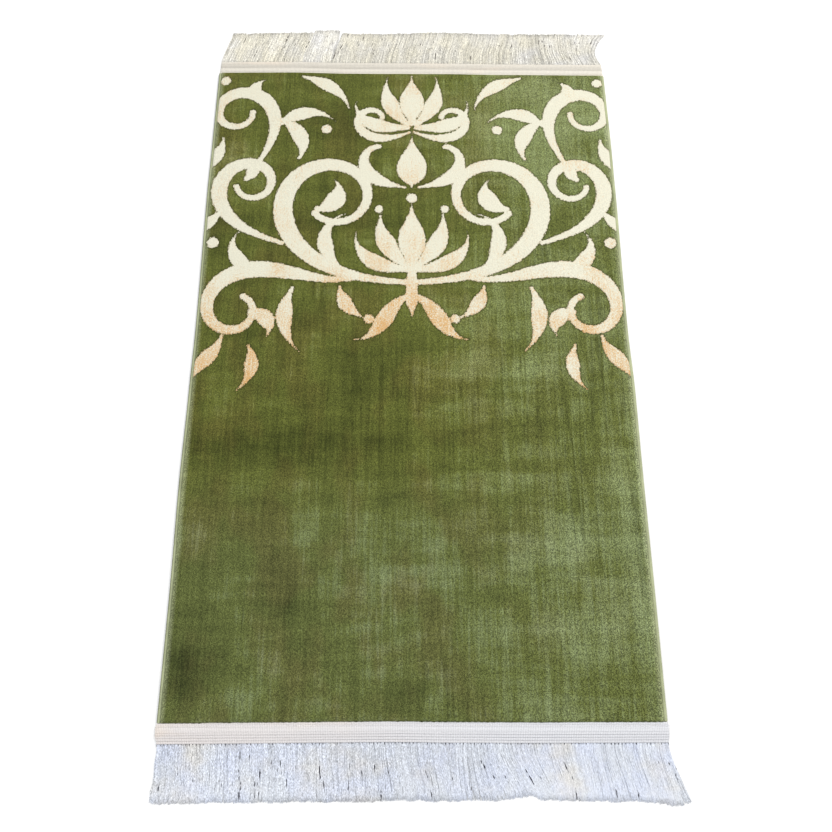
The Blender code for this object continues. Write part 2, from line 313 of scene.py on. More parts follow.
# How the sides run: shift of each side, to the right, along the rug
SIDES = table(
    "along left right",
    (-0.650, 0.0010, 0.0005),
    (-0.640, 0.0015, 0.0005),
    (-0.625, 0.0034, 0.0000),
    (-0.600, 0.0030, -0.0012),
    (-0.585, 0.0038, -0.0020),
    (-0.577, 0.0018, -0.0006),
    (-0.566, -0.0016, 0.0014),
    (-0.557, -0.0020, 0.0020),
    (-0.550, 0.0000, 0.0000),
    (-0.386, 0.0003, 0.0004),
    (-0.210, -0.0013, 0.0001),
    (-0.066, 0.0002, 0.0008),
    (0.037, 0.0013, -0.0014),
    (0.320, -0.0010, 0.0010),
    (0.390, -0.0004, 0.0013),
    (0.550, 0.0000, 0.0000),
    (0.557, 0.0014, -0.0010),
    (0.580, 0.0020, -0.0020),
    (0.605, 0.0040, -0.0042),
    (0.630, 0.0058, -0.0010),
    (0.650, 0.0040, 0.0000),
)
ENDS = table(
    "across near far",          # shift of each end, to the far side, across the rug
    (-0.350, 0.0008, -0.0010),
    (-0.220, 0.0014, -0.0002),
    (-0.110, 0.0020, -0.0028),
    (-0.030, 0.0024, -0.0032),
    (0.060, 0.0012, -0.0034),
    (0.170, 0.0004, -0.0052),
    (0.350, 0.0004, -0.0060),
)
RIPPLES = table(
    "rise across along phase",
    (0.00018, 9.0, -5.0, 0.4),
    (0.00014, -7.0, 13.0, 1.3),
    (0.00010, 5.0, 19.0, 2.6),
)

PAINTED_SIDE_LIGHT = 0.35                # painted light: the pile is painted lighter to the right by this

# Where the pile has been brushed, with the sheen of its lean painted in: dark where it leans
# away, light where it leans back
BRUSH_MARKS = table(
    "x y across along tone",
    (-0.16, -0.16, 0.200, 0.032, -1.00),
    (0.20, -0.13, 0.154, 0.019, -0.50),
    (0.09, -0.19, 0.167, 0.010, -0.45),
    (0.01, -0.24, 0.284, 0.012, -0.35),
    (-0.07, 0.24, 0.186, 0.023, -0.80),
    (-0.13, 0.44, 0.089, 0.172, -0.40),
    (-0.05, -0.02, 0.095, 0.077, -0.45),
    (0.10, -0.06, 0.300, 0.014, -0.30),
    (-0.28, 0.03, 0.040, 0.044, -0.50),
    (-0.32, -0.45, 0.042, 0.085, -0.62),
    (-0.31, -0.50, 0.036, 0.037, -0.45),
    (-0.235, -0.51, 0.035, 0.020, 0.30),
    (-0.18, -0.36, 0.058, 0.057, -0.50),
    (-0.16, -0.45, 0.042, 0.040, -0.50),
    (-0.02, -0.51, 0.032, 0.030, -0.70),
    (-0.30, 0.20, 0.050, 0.095, -0.40),
    (0.23, 0.47, 0.143, 0.152, 0.80),
    (0.18, 0.07, 0.146, 0.162, 0.44),
    (-0.32, 0.36, 0.052, 0.082, 0.50),
    (0.23, -0.30, 0.059, 0.059, 0.50),
    (-0.05, -0.37, 0.043, 0.042, 0.40),
    (-0.27, -0.39, 0.043, 0.042, 0.30),
    (0.24, -0.43, 0.057, 0.055, 0.40),
    (0.34, -0.26, 0.045, 0.303, 0.50),
    (0.12, -0.36, 0.200, 0.120, 0.20),
    (-0.14, 0.02, 0.220, 0.110, -0.16),
)

# The design: scrolling stems and leaves on the right half, mirrored to the left. Each is one
# stroke, in millimetres and degrees. It turns by turn_first in the first half of its length
# and by turn_last in the second, and its width eases from root to belly, at reach, and tip.
STROKES = table(
    "name x y heading length turn_first turn_last root belly tip reach",
    ("great stem", 2, 122, 4, 640, 106, 300, 10, 33, 12, 0.42),
    ("great curl leaf", 160, 262, 176, 80, -60, -64, 11, 33, 1, 0.45),
    ("great back leaf", 196, 364, 120, 120, -66, -30, 5, 28, 1, 0.42),
    ("upper stem", 218, 196, 20, 392, 104, 316, 8, 27, 10, 0.42),
    ("upper curl leaf", 284, 322, 150, 46, -60, -60, 9, 22, 1, 0.45),
    ("elbow leaf", 322, 262, -70, 104, 50, 40, 5, 24, 1, 0.42),
    ("branch", 268, 350, 118, 356, -104, -292, 8, 27, 10, 0.42),
    ("branch tip leaf", 272, 486, 40, 56, 60, 60, 9, 24, 1, 0.45),
    ("branch back leaf", 236, 430, 130, 116, 40, 60, 5, 26, 1, 0.42),
    ("rim leaf", 330, 404, -96, 86, 34, -30, 4, 24, 2, 0.45),
    ("brow leaf", 196, 540, 196, 116, 20, 44, 5, 25, 2, 0.42),
    ("side stem", 90, 132, -16, 436, -16, -306, 8, 30, 11, 0.40),
    ("side curl leaf", 262, 68, 176, 62, 60, 60, 11, 27, 1, 0.45),
    ("side spur", 196, 112, -66, 122, -30, -44, 6, 27, 1, 0.42),
    ("side low leaf", 306, 26, -84, 104, 34, -50, 5, 25, 1, 0.42),
    ("side tail leaf", 262, 10, -116, 84, 34, 46, 4, 22, 1, 0.42),
    ("hip leaf", 252, 142, 18, 100, 40, 74, 5, 26, 1, 0.42),
    ("inner leaf", 118, 150, 40, 126, 50, 74, 5, 26, 1, 0.42),
    ("under leaf", 118, 114, -92, 76, -36, -30, 5, 24, 1, 0.42),
    ("foot", 0, 62, 90, 90, 0, 0, 3, 21, 15, 0.35),
    ("skirt leaf", 2, 98, -14, 124, -44, 60, 9, 28, 1, 0.50),
    ("lotus middle petal", 0, 150, 90, 126, 0, 0, 14, 46, 1, 0.42),
    ("lotus inner petal", 8, 152, 42, 122, 24, 40, 11, 32, 1, 0.45),
    ("lotus outer petal", 8, 146, 6, 126, 28, 68, 10, 28, 1, 0.45),
    ("drop", 0, 306, 90, 108, 0, 0, 3, 52, 1, 0.36),
    ("drop arm", 12, 306, 12, 140, 40, 124, 4, 25, 10, 0.45),
    ("crest middle petal", 0, 440, 90, 104, 0, 0, 12, 44, 1, 0.45),
    ("crest inner petal", 8, 438, 42, 114, 28, 34, 11, 30, 1, 0.45),
    ("crest outer petal", 8, 430, 0, 124, 24, 80, 10, 27, 1, 0.45),
    ("crest curl", 4, 420, -22, 176, 70, 210, 5, 18, 10, 0.38),
)
BERRIES = table(
    "x y radius",
    (0, 284, 9),
    (150, 426, 9),
    (332, 196, 10),
    (70, 56, 8),
    (56, 262, 7),
    (335, 530, 9),
)
STROKE_STEPS = 72
NARROWING = 0.8                 # the lower it is, the sooner a stroke narrows past its belly
GROOVE = 0.00025                # how deep the pile is cut along the design's outlines
GROOVE_REACH = 0.0025           # to each side of them
RIM_FROM = 0.336                # from here outwards the pile is paler, up to the bindings
EDGE_REACH = 0.006              # how far from an outline the design's edge is still measured
DESIGN_FOOT = -0.100            # below this the pile is plain

# The camera, worked out from the rug's corners in the photograph
CAMERA_PLACE = (-0.0018, -0.4852, 1.1338)
CAMERA_YAW = math.radians(1.179)
CAMERA_PITCH = math.radians(71.529)
CAMERA_ROLL = math.radians(1.053)
CAMERA_LENS = 33.24

LIGHTS = table(
    "name place size power colour",
    ("window", (1.6, 1.2, 2.2), 1.6, 58, (1.0, 0.98, 0.95)),
    ("fill", (-1.6, -1.4, 2.4), 2.2, 28, (0.94, 0.97, 1.0)),
)
ROOM_LIGHT = 0.70
FLOOR_HALF = 6


def size_property(name, description, default, least=0.001):
    """A length that a user can change."""
    return FloatProperty(
        name=name, description=description, default=default, min=least, unit="LENGTH",
    )


def colour_property(name, description, default):
    """A linear colour that a user can change."""
    return FloatVectorProperty(
        name=name, description=description, default=default,
        subtype="COLOR", size=3, min=0, max=2,
    )


class RugSizes(PropertyGroup):
    """Sizes that a user would change."""

    design_step: size_property("Design step", "Mesh step of the pile in its design", 0.0025)
    field_step: size_property("Field step", "Mesh step along the plain pile", 0.0085, 0.002)
    wrap_pitch: size_property("Wrap pitch", "From one wrap of a binding to the next", 0.0022)
    tape_step: size_property("Tape step", "Mesh step along the tapes", 0.0018)
    stitch_pitch: size_property("Stitch pitch", "From one stitch to the next", 0.0040, 0.002)


class RugColours(PropertyGroup):
    """Colours that a user would change, as linear values."""

    green: colour_property("Green", "Pile, its middle tone", (0.103, 0.117, 0.023))
    # The dark and light greens also carry painted light: the painted sheen of the brush marks and
    # the pile painted lighter to the right; the dark green is also the painted shade along the
    # design's outlines.
    green_dark: colour_property("Dark green", "Pile, brushed away", (0.020, 0.026, 0.004))
    green_light: colour_property("Light green", "Pile, brushed back", (0.250, 0.292, 0.108))
    brown_tint: colour_property("Brown tint", "Pile, in patches", (1.080, 0.880, 1.000))
    cool_tint: colour_property("Cool tint", "Pile, right and near", (0.995, 1.045, 1.560))
    cream: colour_property("Cream", "Design, its main tone", (0.708, 0.688, 0.558))
    peach: colour_property("Peach", "Design, its second tone", (0.660, 0.490, 0.290))
    orange: colour_property("Orange", "Design, its flecks", (0.600, 0.340, 0.120))
    sage: colour_property("Sage", "Side bindings", (0.375, 0.405, 0.245))
    tape_white: colour_property("Tape white", "Near tape, left", (0.785, 0.745, 0.735))
    tape_cool: colour_property("Cool tape", "Near tape, right", (0.750, 0.757, 0.795))
    tape_cream: colour_property("Tape cream", "Far tape", (0.740, 0.700, 0.620))
    tape_warm: colour_property("Warm tape", "Tapes, in patches", (0.880, 0.740, 0.600))
    cool_yarn: colour_property("Cool yarn", "Near fringe", (0.785, 0.825, 0.915))
    cream_yarn: colour_property("Cream yarn", "Near fringe, in patches", (0.790, 0.785, 0.790))
    warm_yarn: colour_property("Warm yarn", "Far fringe", (0.830, 0.803, 0.710))
    white_yarn: colour_property("White yarn", "Far fringe, in clumps", (0.870, 0.855, 0.810))
    # painted shadow, in the fringes' slits and in the dots between their roots
    cool_slit_shadow: colour_property("Cool slit", "Near fringe, in its slits", (0.028, 0.028, 0.045))
    warm_slit_shadow: colour_property("Warm slit", "Far fringe, in its slits", (0.050, 0.036, 0.030))
    floor: colour_property("Floor", "Plain floor", (0.940, 0.940, 0.940))


# --- How the rug lies -------------------------------------


def eased(share):
    """A share from 0 to 1 that starts and ends gently."""
    return share * share * (3 - 2 * share)


def bell(aside, reach):
    """A smooth bell: 1 in its middle, and almost none at twice its reach."""
    return np.exp(-((aside / reach) ** 2))


def uneven(*place):
    """Smooth unevenness, from about -1 to 1, at a place that is stretched already."""
    return noise.noise(Vector(place))


def soft_curve(rows, place, column, positions):
    """A column's value at each position, eased smoothly from one row of the table to the next."""
    places = np.array([row[place] for row in rows])
    values = np.array([row[column] for row in rows])
    positions = np.asarray(positions, float)
    spot = np.clip(np.searchsorted(places, positions) - 1, 0, len(rows) - 2)
    share = (positions - places[spot]) / (places[spot + 1] - places[spot])
    share = eased(np.clip(share, 0, 1))
    return values[spot] * (1 - share) + values[spot + 1] * share


def lay(points):
    """Points of a straight piece, moved to where they lie on the floor."""
    x, y = points[:, 0], points[:, 1]
    share = x / RUG_WIDTH + 0.5
    left = soft_curve(SIDES, "along", "left", y)
    right = soft_curve(SIDES, "along", "right", y)
    near = soft_curve(ENDS, "across", "near", x)
    far = soft_curve(ENDS, "across", "far", x)
    reach = np.minimum(np.abs(y) / HALF_LENGTH, 1)
    laid = points.copy()
    laid[:, 0] = x + left * (1 - share) + right * share
    laid[:, 1] = y + np.where(y < 0, near, far) * reach * reach
    return laid


def ripple(x, y):
    """Slow rise and fall of the pile's top."""
    return sum(
        wave["rise"] * np.sin(wave["across"] * x + wave["along"] * y + wave["phase"])
        for wave in RIPPLES
    )


def brushing(points):
    """How light or dark the pile looks at each place: painted light growing to the right, and the
    painted sheen of the brush marks left in it.
    """
    tone = PAINTED_SIDE_LIGHT * points[:, 0] / RUG_WIDTH
    for mark in BRUSH_MARKS:
        across = (points[:, 0] - mark["x"]) / mark["across"]
        along = (points[:, 1] - mark["y"]) / mark["along"]
        tone = tone + mark["tone"] * np.exp(-across * across - along * along)
    return tone


def drift(lean, bow, along):
    """Sideways shift along a lock: none at its root, bow half way and lean at its tip."""
    return lean * along * along + (4 * bow - lean) * along * (1 - along)


# --- The design -------------------------------------------


def stroke_line(stroke):
    """Middle line and half widths of a stroke, whose bend grows evenly along its length."""
    share = np.linspace(0, 1, STROKE_STEPS)
    bend = 3 * stroke["turn_first"] - stroke["turn_last"]
    growth = 4 * (stroke["turn_last"] - stroke["turn_first"])
    heading = np.radians(stroke["heading"] + bend * share + growth * share * share / 2)
    step = stroke["length"] / (STROKE_STEPS - 1)
    ahead = np.column_stack((np.cos(heading), np.sin(heading)))
    moves = (ahead[1:] + ahead[:-1]) / 2 * step
    start = np.array((stroke["x"], stroke["y"]), float)
    line = np.vstack((start, start + np.cumsum(moves, axis=0)))
    rise = eased(np.clip(share / stroke["reach"], 0, 1))
    past = (share - stroke["reach"]) / (1 - stroke["reach"])
    fall = eased(np.clip(past, 0, 1)) ** NARROWING
    width = stroke["root"] + (stroke["belly"] - stroke["root"]) * rise
    width = width + (stroke["tip"] - stroke["belly"]) * fall
    return line * MM, width / 2 * MM


def inside_by(points, line, radius):
    """How far each point lies inside a tapered stroke. Outside it the value is negative."""
    depth = np.full(len(points), -EDGE_REACH)
    for start, end, low, high in zip(line[:-1], line[1:], radius[:-1], radius[1:]):
        along = end - start
        offset = points - start
        share = np.clip(offset @ along / (along @ along), 0, 1)
        distance = np.hypot(*(offset - share[:, None] * along).T)
        depth = np.maximum(depth, low + (high - low) * share - distance)
    return depth


def design_depth(points):
    """How far each place on the pile lies inside the design, in metres, within a short reach."""
    folded = np.column_stack((np.abs(points[:, 0]), points[:, 1]))
    depth = np.full(len(folded), -EDGE_REACH)
    shapes = [stroke_line(stroke) for stroke in STROKES]
    for berry in BERRIES:
        centre = np.array((berry["x"], berry["y"])) * MM
        speck = np.array((0, GAP))
        shapes.append((np.array((centre, centre + speck)), np.full(2, berry["radius"] * MM)))
    for line, radius in shapes:
        margin = radius.max() + EDGE_REACH
        low, high = line.min(axis=0) - margin, line.max(axis=0) + margin
        near = np.flatnonzero(np.all((folded > low) & (folded < high), axis=1))
        if len(near):
            depth[near] = np.maximum(depth[near], inside_by(folded[near], line, radius))
    return np.clip(depth, -EDGE_REACH, EDGE_REACH)


# --- Mesh tools -------------------------------------------


def only(kind, items):
    """The items of one kind, out of what an extrusion made."""
    return [item for item in items if isinstance(item, kind)]


def close_ends(mesh):
    """Fill every open end of a mesh."""
    rims = [edge for edge in mesh.edges if edge.is_boundary]
    bmesh.ops.holes_fill(mesh, edges=rims, sides=0)


def sweep(sections):
    """A closed solid through a row of like sections: a grid rolled up, sewn and capped."""
    corners, steps = len(sections[0]), len(sections) - 1
    mesh = bmesh.new()
    bmesh.ops.create_grid(mesh, x_segments=corners, y_segments=steps, size=0.5)
    for vert in mesh.verts:
        corner = round((vert.co.x + 0.5) * corners) % corners
        vert.co = sections[round((vert.co.y + 0.5) * steps)][corner]
    bmesh.ops.remove_doubles(mesh, verts=mesh.verts, dist=SEW)
    close_ends(mesh)
    return mesh


def points_of(data):
    """A mesh's points as an array."""
    points = np.zeros(len(data.vertices) * 3)
    data.vertices.foreach_get("co", points)
    return points.reshape(-1, 3)


def set_points(data, points):
    """Write an array back into a mesh's points."""
    data.vertices.foreach_set("co", points.ravel())
    data.update()


def add_piece(name, data, material, slot, *nodes):
    """Put a finished mesh in the scene, riding on the rug and standing for its solids."""
    data.materials.append(material)
    data.shade_smooth()
    piece = bpy.data.objects.new(name, data)
    bpy.context.scene.collection.objects.link(piece)
    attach(piece, "root")
    if nodes:
        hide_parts(*nodes)
    return piece


def mesh_from(mesh, name, shape=None, **measures):
    """Turn a straight bmesh into a mesh that lies as the rug does, with its faces outwards.

    Each measure gives the straight points a value, which is kept for the material to read.
    """
    bmesh.ops.recalc_face_normals(mesh, faces=mesh.faces)
    data = bpy.data.meshes.new(name)
    mesh.to_mesh(data)
    mesh.free()
    points = points_of(data)
    for label, measure in measures.items():
        add_values(data, label, measure(points))
    if shape:
        points = shape(points)
    set_points(data, lay(points))
    return data


def add_values(data, name, values):
    """Store one number for each point of a mesh, for its material to read."""
    attribute = data.attributes.new(name, "FLOAT", "POINT")
    attribute.data.foreach_set("value", np.asarray(values, np.float32))


def yarns_from(name, lines, radii, thickness):
    """A mesh of separate round yarns, one for each line of points."""
    curve = bpy.data.curves.new(name, "CURVE")
    curve.dimensions = "3D"
    curve.twist_mode = "Z_UP"
    curve.bevel_depth = thickness / 2
    curve.bevel_resolution = 0
    for line in lines:
        spline = curve.splines.new("POLY")
        spline.points.add(len(line) - 1)
        spline.points.foreach_set("co", np.column_stack((line, np.ones(len(line)))).ravel())
        spline.points.foreach_set("radius", radii)
    holder = bpy.data.objects.new(name, curve)
    bpy.context.scene.collection.objects.link(holder)
    depsgraph = bpy.context.evaluated_depsgraph_get()
    data = bpy.data.meshes.new_from_object(holder.evaluated_get(depsgraph))
    bpy.data.objects.remove(holder, do_unlink=True)
    bpy.data.curves.remove(curve)
    data.name = name
    mesh = bmesh.new()
    mesh.from_mesh(data)
    close_ends(mesh)
    bmesh.ops.recalc_face_normals(mesh, faces=mesh.faces)
    mesh.to_mesh(data)
    mesh.free()
    return data


# --- Node tools and shared effects ------------------------


class Nodes:
    """The nodes of a material or a group, each added and joined up in one line."""

    def __init__(self, tree, source, place, material=None):
        self.tree = tree
        self.material = material
        self.source = self.add(source).outputs
        self.place = self.source[place]

    def add(self, kind, inputs=(), **settings):
        """Add a node, set its fields, and set or link its inputs."""
        node = self.tree.nodes.new(kind)
        for field, value in settings.items():
            setattr(node, field, value)
        for socket, value in dict(inputs).items():
            if isinstance(value, bpy.types.NodeSocket):
                self.tree.links.new(value, node.inputs[socket])
            else:
                node.inputs[socket].default_value = value
        return node

    def maths(self, operation, *values, clamp=False):
        """A Math node's result."""
        inputs = dict(enumerate(values))
        return self.add("ShaderNodeMath", inputs, operation=operation, use_clamp=clamp).outputs[0]

    def spread(self, value, low, high, new_low=0.0, new_high=1.0):
        """Ease a value from one range into another."""
        inputs = {"Value": value, "From Min": low, "From Max": high}
        inputs.update({"To Min": new_low, "To Max": new_high})
        node = self.add("ShaderNodeMapRange", inputs, interpolation_type="SMOOTHSTEP")
        return node.outputs["Result"]

    def times(self, first, second):
        """Two values multiplied."""
        return self.maths("MULTIPLY", first, second)

    def line(self, value, slope, start):
        """A value times a slope, from a start."""
        return self.maths("MULTIPLY_ADD", value, slope, start)

    def varied(self, value, parts):
        """A value varied by others, each about its own middle and by its own weight."""
        for part, weight in parts:
            value = self.maths("ADD", value, self.line(part, weight, -weight / 2))
        return value

    def mix(self, share, first, second, blend="MIX"):
        """A Mix Color node's result. Each colour is a socket or three numbers."""
        inputs = {0: share}
        for socket, colour in ((6, first), (7, second)):
            linked = isinstance(colour, bpy.types.NodeSocket)
            inputs[socket] = colour if linked else (*colour, 1.0)
        node = self.add("ShaderNodeMix", inputs, data_type="RGBA", blend_type=blend)
        return node.outputs[2]

    def tinted(self, colour, tint):
        """A colour multiplied by another."""
        return self.mix(1.0, colour, tint, blend="MULTIPLY")

    def noise(self, scale, detail=2.0, distortion=0.0):
        """A Noise Texture's value at the place, stretched by a scale for each axis."""
        mapping = self.add("ShaderNodeMapping", {"Vector": self.place, "Scale": scale})
        return self.plain_noise(mapping.outputs[0], detail, distortion)

    def plain_noise(self, place, detail, distortion=0.0):
        """A Noise Texture's value at a place that is stretched already."""
        inputs = {"Vector": place, "Scale": 1.0, "Detail": detail, "Distortion": distortion}
        return self.add("ShaderNodeTexNoise", inputs).outputs["Fac"]

    def shaded(self, colour, shade):
        """A colour made lighter or darker by a number."""
        grey = self.add("ShaderNodeCombineXYZ", {0: shade, 1: shade, 2: shade}).outputs[0]
        return self.tinted(colour, grey)

    def axes(self):
        """The X, Y and Z of the place, by name."""
        return self.add("ShaderNodeSeparateXYZ", {0: self.place}).outputs

    def attribute(self, name):
        """A value that is stored for each point of the mesh."""
        return self.add("ShaderNodeAttribute", attribute_name=name).outputs["Fac"]


def new_group(name, inputs, outputs):
    """An empty node group with named sockets, and its nodes. Its first input is the place."""
    tree = bpy.data.node_groups.new(name, "ShaderNodeTree")
    tree.interface.new_socket("Place", in_out="INPUT", socket_type="NodeSocketVector")
    for label, kind, default in inputs:
        socket = tree.interface.new_socket(label, in_out="INPUT", socket_type=kind)
        socket.default_value = default
    for label in outputs:
        tree.interface.new_socket(label, in_out="OUTPUT", socket_type="NodeSocketFloat")
    return Nodes(tree, "NodeGroupInput", "Place")


def fibre_group():
    """Fine fibre grain with soft, larger patches of lighter and darker yarn."""
    name = "Fibre variation"
    if name in bpy.data.node_groups:
        return bpy.data.node_groups[name]
    details = {"Grain": 2.0, "Patch": 4.0}
    scales = [
        ("Grain Scale", "NodeSocketVector", (900, 900, 900)),
        ("Patch Scale", "NodeSocketVector", (12, 12, 12)),
    ]
    nodes = new_group(name, scales, details)
    results = {}
    for label, detail in details.items():
        inputs = {0: nodes.place, 1: nodes.source[label + " Scale"]}
        scaled = nodes.add("ShaderNodeVectorMath", inputs, operation="MULTIPLY")
        results[label] = nodes.plain_noise(scaled.outputs[0], detail)
    nodes.add("NodeGroupOutput", results)
    return nodes.tree


def weave_group():
    """Height of a plain weave: threads along and across, over and under in turn."""
    name = "Plain weave"
    if name in bpy.data.node_groups:
        return bpy.data.node_groups[name]
    counts = {"X": "Threads Across", "Y": "Threads Along"}
    inputs = [(label, "NodeSocketFloat", 900.0) for label in counts.values()]
    nodes = new_group(name, inputs, ["Height"])
    axes = nodes.axes()
    waves = []
    for axis, label in counts.items():
        count = nodes.times(axes[axis], nodes.source[label])
        waves.append(nodes.maths("SINE", nodes.times(count, math.pi)))
    height = nodes.maths("ABSOLUTE", nodes.times(*waves))
    nodes.add("NodeGroupOutput", {"Height": height})
    return nodes.tree


def fibres(nodes, grain_scale, patch_scale):
    """Place the shared fibre effect in a material. It gives a Grain and a Patch."""
    inputs = {"Place": nodes.place, "Grain Scale": grain_scale, "Patch Scale": patch_scale}
    return nodes.add("ShaderNodeGroup", inputs, node_tree=fibre_group()).outputs


def new_material(name, roughness, sheen, sheen_tint=WHITE):
    """A new material with a plain Principled shader, and its nodes."""
    material = bpy.data.materials.new(name)
    material.use_nodes = True
    shader = material.node_tree.nodes["Principled BSDF"].inputs
    shader["Roughness"].default_value = roughness
    shader["Specular IOR Level"].default_value = 0.12
    shader["Sheen Weight"].default_value = sheen
    shader["Sheen Roughness"].default_value = 0.45
    shader["Sheen Tint"].default_value = (*sheen_tint, 1.0)
    return Nodes(material.node_tree, "ShaderNodeTexCoord", "Object", material)


def finish_material(nodes, colour, height, distance):
    """Join a colour and a relief to the shader. It gives the finished material."""
    bump = nodes.add("ShaderNodeBump", {"Height": height, "Distance": distance, "Strength": 1.0})
    shader = nodes.tree.nodes["Principled BSDF"].inputs
    nodes.tree.links.new(colour, shader["Base Color"])
    nodes.tree.links.new(bump.outputs["Normal"], shader["Normal"])
    return nodes.material


# --- Materials --------------------------------------------


def pile_green(nodes, colours, fibre, streak, knot):
    """Green cut pile with the painted sheen of its brush marks, painted light to the right,
    streaks along it and bands across it.
    """
    axes = nodes.axes()
    tone = nodes.varied(nodes.times(nodes.attribute("brushing"), 0.52), (
        (streak, 0.92),
        (nodes.noise((60, 5, 10)), 0.58),
        (nodes.noise((14, 62, 10)), 0.60),
        (nodes.noise((2.2, 19, 10), detail=3.0, distortion=0.4), 0.84),
        (fibre["Patch"], 0.86),
    ))
    lighter = nodes.maths("MULTIPLY_ADD", tone, 0.5, 0.5, clamp=True)
    dark_side = nodes.maths("MULTIPLY", lighter, 2.0, clamp=True)
    light_side = nodes.maths("MULTIPLY_ADD", lighter, 2.0, -1.0, clamp=True)
    green = nodes.mix(dark_side, colours.green_dark, colours.green)
    green = nodes.mix(light_side, green, colours.green_light)

    # brown in patches, most of all at the left, and cooler to the right and the near end
    right = nodes.spread(axes["X"], -0.05, 0.28)
    hue = nodes.noise((13, 9, 7), detail=3.0)
    brown = nodes.times(nodes.spread(hue, 0.44, 0.62), nodes.line(right, -0.55, 0.65))
    near = nodes.spread(axes["Y"], -0.14, -0.34, 0.0, 0.90)
    near = nodes.times(near, nodes.line(right, -0.75, 1.0))
    cool = nodes.line(right, 0.50, near)
    tint = nodes.mix(brown, WHITE, colours.brown_tint)
    tint = nodes.tinted(tint, nodes.mix(cool, WHITE, colours.cool_tint))
    aside = nodes.maths("ABSOLUTE", axes["X"])
    rim = nodes.spread(aside, RIM_FROM, PILE_HALF_WIDTH, 0.0, 0.45)
    green = nodes.mix(rim, nodes.tinted(green, tint), colours.sage)

    # fibres, single tufts and thin lines of painted shade between some rows of tufts
    shade = nodes.spread(fibre["Grain"], 0.22, 0.78, 0.73, 1.30)
    tuft_contrast = nodes.line(right, 0.32, 0.90)
    tuft = nodes.line(nodes.maths("SUBTRACT", knot, 0.5), tuft_contrast, 1.0)
    rows = nodes.maths("SUBTRACT", nodes.noise((42, 1.6, 10), detail=1.0), 0.5)
    gap = nodes.spread(nodes.maths("ABSOLUTE", rows), 0.030, 0.006)
    here = nodes.spread(nodes.noise((5, 4, 4)), 0.48, 0.60, 0.0, 0.24)
    gap_shade = nodes.line(nodes.times(gap, here), -1.0, 1.0)
    return nodes.shaded(green, nodes.times(nodes.times(shade, tuft), gap_shade))


def design_cream(nodes, colours, fibre, streak, knot):
    """Cream yarn of the design. It is flecked with peach, most of all low down."""
    axes = nodes.axes()
    low = nodes.spread(axes["Y"], 0.26, -0.06, 0.0, 0.90)
    middle = nodes.spread(nodes.maths("ABSOLUTE", axes["X"]), 0.110, 0.020, 0.0, 0.20)
    warmth = nodes.varied(nodes.maths("ADD", low, middle), (
        (nodes.noise((19, 15, 19)), 2.1),
        (nodes.noise((520, 380, 520), detail=1.0), 1.7),
        (streak, 0.9),
        (knot, 0.75),
    ))
    cream = nodes.mix(nodes.spread(warmth, 0.24, 0.95), colours.cream, colours.peach)
    cream = nodes.mix(nodes.spread(warmth, 0.85, 1.45), cream, colours.orange)
    return nodes.shaded(cream, nodes.spread(fibre["Grain"], 0.25, 0.75, 0.84, 1.06))


def pile_material(colours):
    """Brushed green cut pile with the design woven in cream and peach."""
    nodes = new_material("cut_pile", 0.85, 0.10, SHEEN_GREEN)
    streak = nodes.noise((330, 14, 40), detail=3.0)
    fibre = fibres(nodes, (640, 560, 640), (16, 12, 13))
    knots = nodes.add("ShaderNodeMapping", {"Vector": nodes.place, "Scale": KNOTS_A_METRE})
    cell = nodes.add("ShaderNodeVectorMath", {0: knots.outputs[0]}, operation="FLOOR")
    knot = nodes.add("ShaderNodeTexWhiteNoise", {"Vector": cell.outputs[0]}).outputs["Value"]
    green = pile_green(nodes, colours, fibre, streak, knot)
    cream = design_cream(nodes, colours, fibre, streak, knot)

    # the design's edge, ragged by single tufts and by small groups of them
    depth = nodes.attribute("design_depth")
    nibble = nodes.noise((260, 210, 40), detail=1.0)
    ragged = nodes.varied(depth, ((knot, 0.0020), (nibble, 0.0040)))
    # painted shade: the green is painted darker along the design's outline, beside the groove cut
    # there
    outline_shade = nodes.spread(ragged, -0.0030, -0.0004, 0.0, 0.55)
    green = nodes.mix(outline_shade, green, colours.green_dark)
    cream = nodes.mix(nodes.spread(ragged, 0.0012, 0.0002, 0.0, 0.35), cream, colours.peach)
    colour = nodes.mix(nodes.spread(ragged, -0.0002, 0.0002), green, cream)

    groove = nodes.spread(nodes.maths("ABSOLUTE", depth), 0.0, 0.0014)
    height = nodes.line(groove, 0.60, nodes.line(streak, 0.40, fibre["Grain"]))
    return finish_material(nodes, colour, height, 0.0009)


def binding_material(colours):
    """Pale sage yarn, wrapped closely round the edge, with painted shade: a darker line along the
    outer side, strongest on the left cord, and a dark line where each cord meets the pile.
    """
    nodes = new_material("overcast_yarn", 0.75, 0.10)
    axes = nodes.axes()
    fibre = fibres(nodes, (700, 1500, 700), (8, 30, 8))
    shade = nodes.maths("ADD", fibre["Grain"], fibre["Patch"])
    shade = nodes.spread(shade, 0.70, 1.30, 0.78, 1.12)
    # painted shade: darker along the cords' outer side, most on the left, and darker where each
    # cord meets the pile
    inward = nodes.attribute("inward")
    left = nodes.spread(axes["X"], 0.1, -0.1, 0.12, 1.0)
    outer = nodes.times(nodes.spread(inward, 0.0026, 0.0012), left)
    outer_shade = nodes.line(outer, -0.50, 1.08)
    inner_shade = nodes.spread(inward, 0.0038, 0.0052, 1.0, 0.62)
    shade = nodes.times(shade, nodes.times(outer_shade, inner_shade))
    # pile green low on the cord and sage on top: partly a greener lower edge, partly painted
    # light on the top
    pale = nodes.spread(axes["Z"], 0.0022, 0.0040)
    colour = nodes.shaded(nodes.mix(pale, colours.green, colours.sage), shade)
    return finish_material(nodes, colour, fibre["Grain"], 0.0003)


